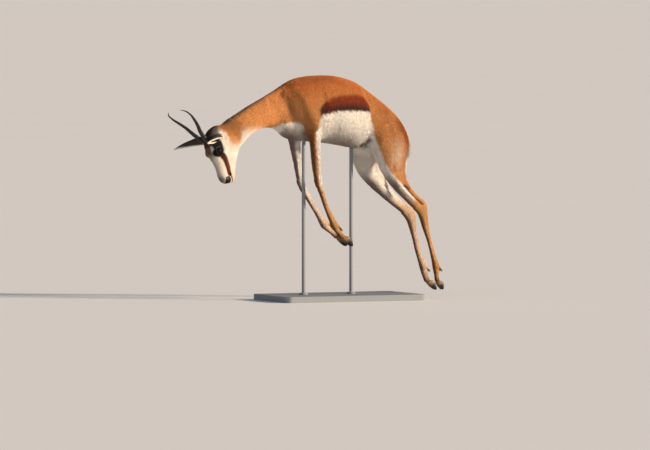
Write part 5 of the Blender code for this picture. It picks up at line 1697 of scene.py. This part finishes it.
class SpringbokAddStand(bpy.types.Operator):
    """Painted base and rods"""

    bl_idname = "springbok.add_stand"
    bl_label = "Stand"

    def execute(self, context):
        paint = context.scene.springbok_hard.paint
        board = paint_material("satin paint on board", paint, False)
        steel = paint_material("satin paint on steel", paint, True)
        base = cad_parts["stand_base"]
        base.data.materials.clear()
        base.data.materials.append(board)
        for place in ("front", "rear"):
            low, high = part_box(f"stand_rod_{place}")
            thick = (high.x - low.x) / 2
            # Turned rod with a rounded foot collar: radius at each height
            heights = [low.z, low.z + 0.0001, low.z + 0.006, low.z + 0.008, low.z + 0.0085, high.z]
            radii = np.array([0.98, 2.2, 2.2, 1.9, 1.0, 1.0])[:, None] * thick
            middle = np.array([((low.x + high.x) / 2, (low.y + high.y) / 2, z) for z in heights])
            rings = rings_round(middle, np.array([1.0, 0.0, 0.0]), SIDEWAYS, radii, turns(64))
            rod = closed_piece(f"rod_{place}", rings, steel)
            sharp = rod.modifiers.new("Edges", "BEVEL")
            sharp.width = 0.0006
            sharp.segments = 2
            sharp.limit_method = "ANGLE"
            sharp.harden_normals = True
            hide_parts(f"stand_rod_{place}")
        return {"FINISHED"}


class SpringbokSetStage(bpy.types.Operator):
    """Pale floor, soft light and the camera"""

    bl_idname = "springbok.set_stage"
    bl_label = "Stage"

    def execute(self, context):
        stage = context.scene.springbok_stage
        # The floor reaches the horizon and lies 0.2 mm under the base, clear of its face
        half = 700.0
        depth = -0.0002
        mesh = bpy.data.meshes.new("floor")
        mesh.from_pydata([(-half, -half, depth), (half, -half, depth), (half, half, depth),
                          (-half, half, depth)], [], [(0, 1, 2, 3)])
        floor = add_object("floor", mesh)
        floor.data.materials.append(floor_material(stage.floor))
        context.scene.world = self.sky(stage.fill)

        # The camera looks 25 degrees round from the left side and 2 degrees down, and its aim
        # puts the animal where the photo has it
        round_by = math.radians(25.0)
        down_by = math.radians(2.0)
        ahead = np.array([math.sin(round_by) * math.cos(down_by),
                          math.cos(round_by) * math.cos(down_by), -math.sin(down_by)])
        right = unit(np.cross(ahead, UP))
        aim = right * -0.042 + UP * 0.3156 + SHIFT
        context.scene.camera = self.camera(aim, ahead, right, distance=30.0, view_width=2.73)

        # Warm low key light from the view's right, and a faint cool one from the camera's side
        self.sun("key light", unit(0.93 * right - 0.25 * ahead + 0.28 * UP), stage.key,
                 linear("#FFEBD4"), spread=6.0)
        self.sun("fill light", unit(-0.7 * right - 0.9 * ahead + 0.6 * UP), stage.key * 0.05,
                 linear("#D8E4FF"), spread=60.0)
        context.scene.view_settings.view_transform = "Standard"
        return {"FINISHED"}

    def sky(self, strength):
        """World with an even pale blue light."""
        world = bpy.data.worlds.new("soft sky")
        world.use_nodes = True
        background = world.node_tree.nodes["Background"]
        background.inputs["Color"].default_value = (*linear("#D3DEF2"), 1.0)
        background.inputs["Strength"].default_value = strength
        return world

    def camera(self, aim, ahead, right, distance, view_width):
        """Camera that looks ahead at a place, with the width of the view there in metres."""
        data = bpy.data.cameras.new("camera")
        data.sensor_width = 36.0
        data.lens = data.sensor_width * distance / view_width
        data.clip_end = 1000.0
        camera = add_object("camera", data)
        axes = np.stack([right, np.cross(right, ahead), -ahead, aim - ahead * distance], axis=1)
        camera.matrix_world = Matrix([*axes.tolist(), (0.0, 0.0, 0.0, 1.0)])
        return camera

    def sun(self, name, towards, strength, tint, spread):
        """Light from one direction, which a larger spread in degrees makes softer."""
        data = bpy.data.lights.new(name, "SUN")
        data.energy = strength
        data.color = tint
        data.angle = math.radians(spread)
        lamp = add_object(name, data)
        lamp.rotation_euler = Vector(towards).to_track_quat("Z", "Y").to_euler()


class SpringbokPanel(bpy.types.Panel):
    """Steps of the model in the sidebar"""

    bl_idname = "VIEW3D_PT_springbok"
    bl_label = "Springbok"
    bl_space_type = "VIEW_3D"
    bl_region_type = "UI"
    bl_category = "Springbok"

    def draw(self, context):
        for step in STEPS:
            self.layout.operator(step.bl_idname)


GROUPS = {"springbok_form": SpringbokForm, "springbok_coat": SpringbokCoat,
          "springbok_hard": SpringbokHard, "springbok_stage": SpringbokStage}
STEPS = (SpringbokSetStage, SpringbokAddSkin, SpringbokAddEyes, SpringbokAddHorns,
         SpringbokAddHooves, SpringbokAddStand, SpringbokAddLongHair, SpringbokAddCoat)


def register():
    """Add the classes and the scene's property groups."""
    for made in (*GROUPS.values(), *STEPS, SpringbokPanel):
        bpy.utils.register_class(made)
    for name, group in GROUPS.items():
        setattr(bpy.types.Scene, name, PointerProperty(type=group))


def unregister():
    """Take the classes and property groups away."""
    for name in GROUPS:
        delattr(bpy.types.Scene, name)
    for made in (SpringbokPanel, *reversed(STEPS), *reversed(GROUPS.values())):
        bpy.utils.unregister_class(made)


def main():
    """Build every piece."""
    register()
    for step in STEPS:
        group, name = step.bl_idname.split(".")
        getattr(getattr(bpy.ops, group), name)()


if __name__ == "__main__":
    main()
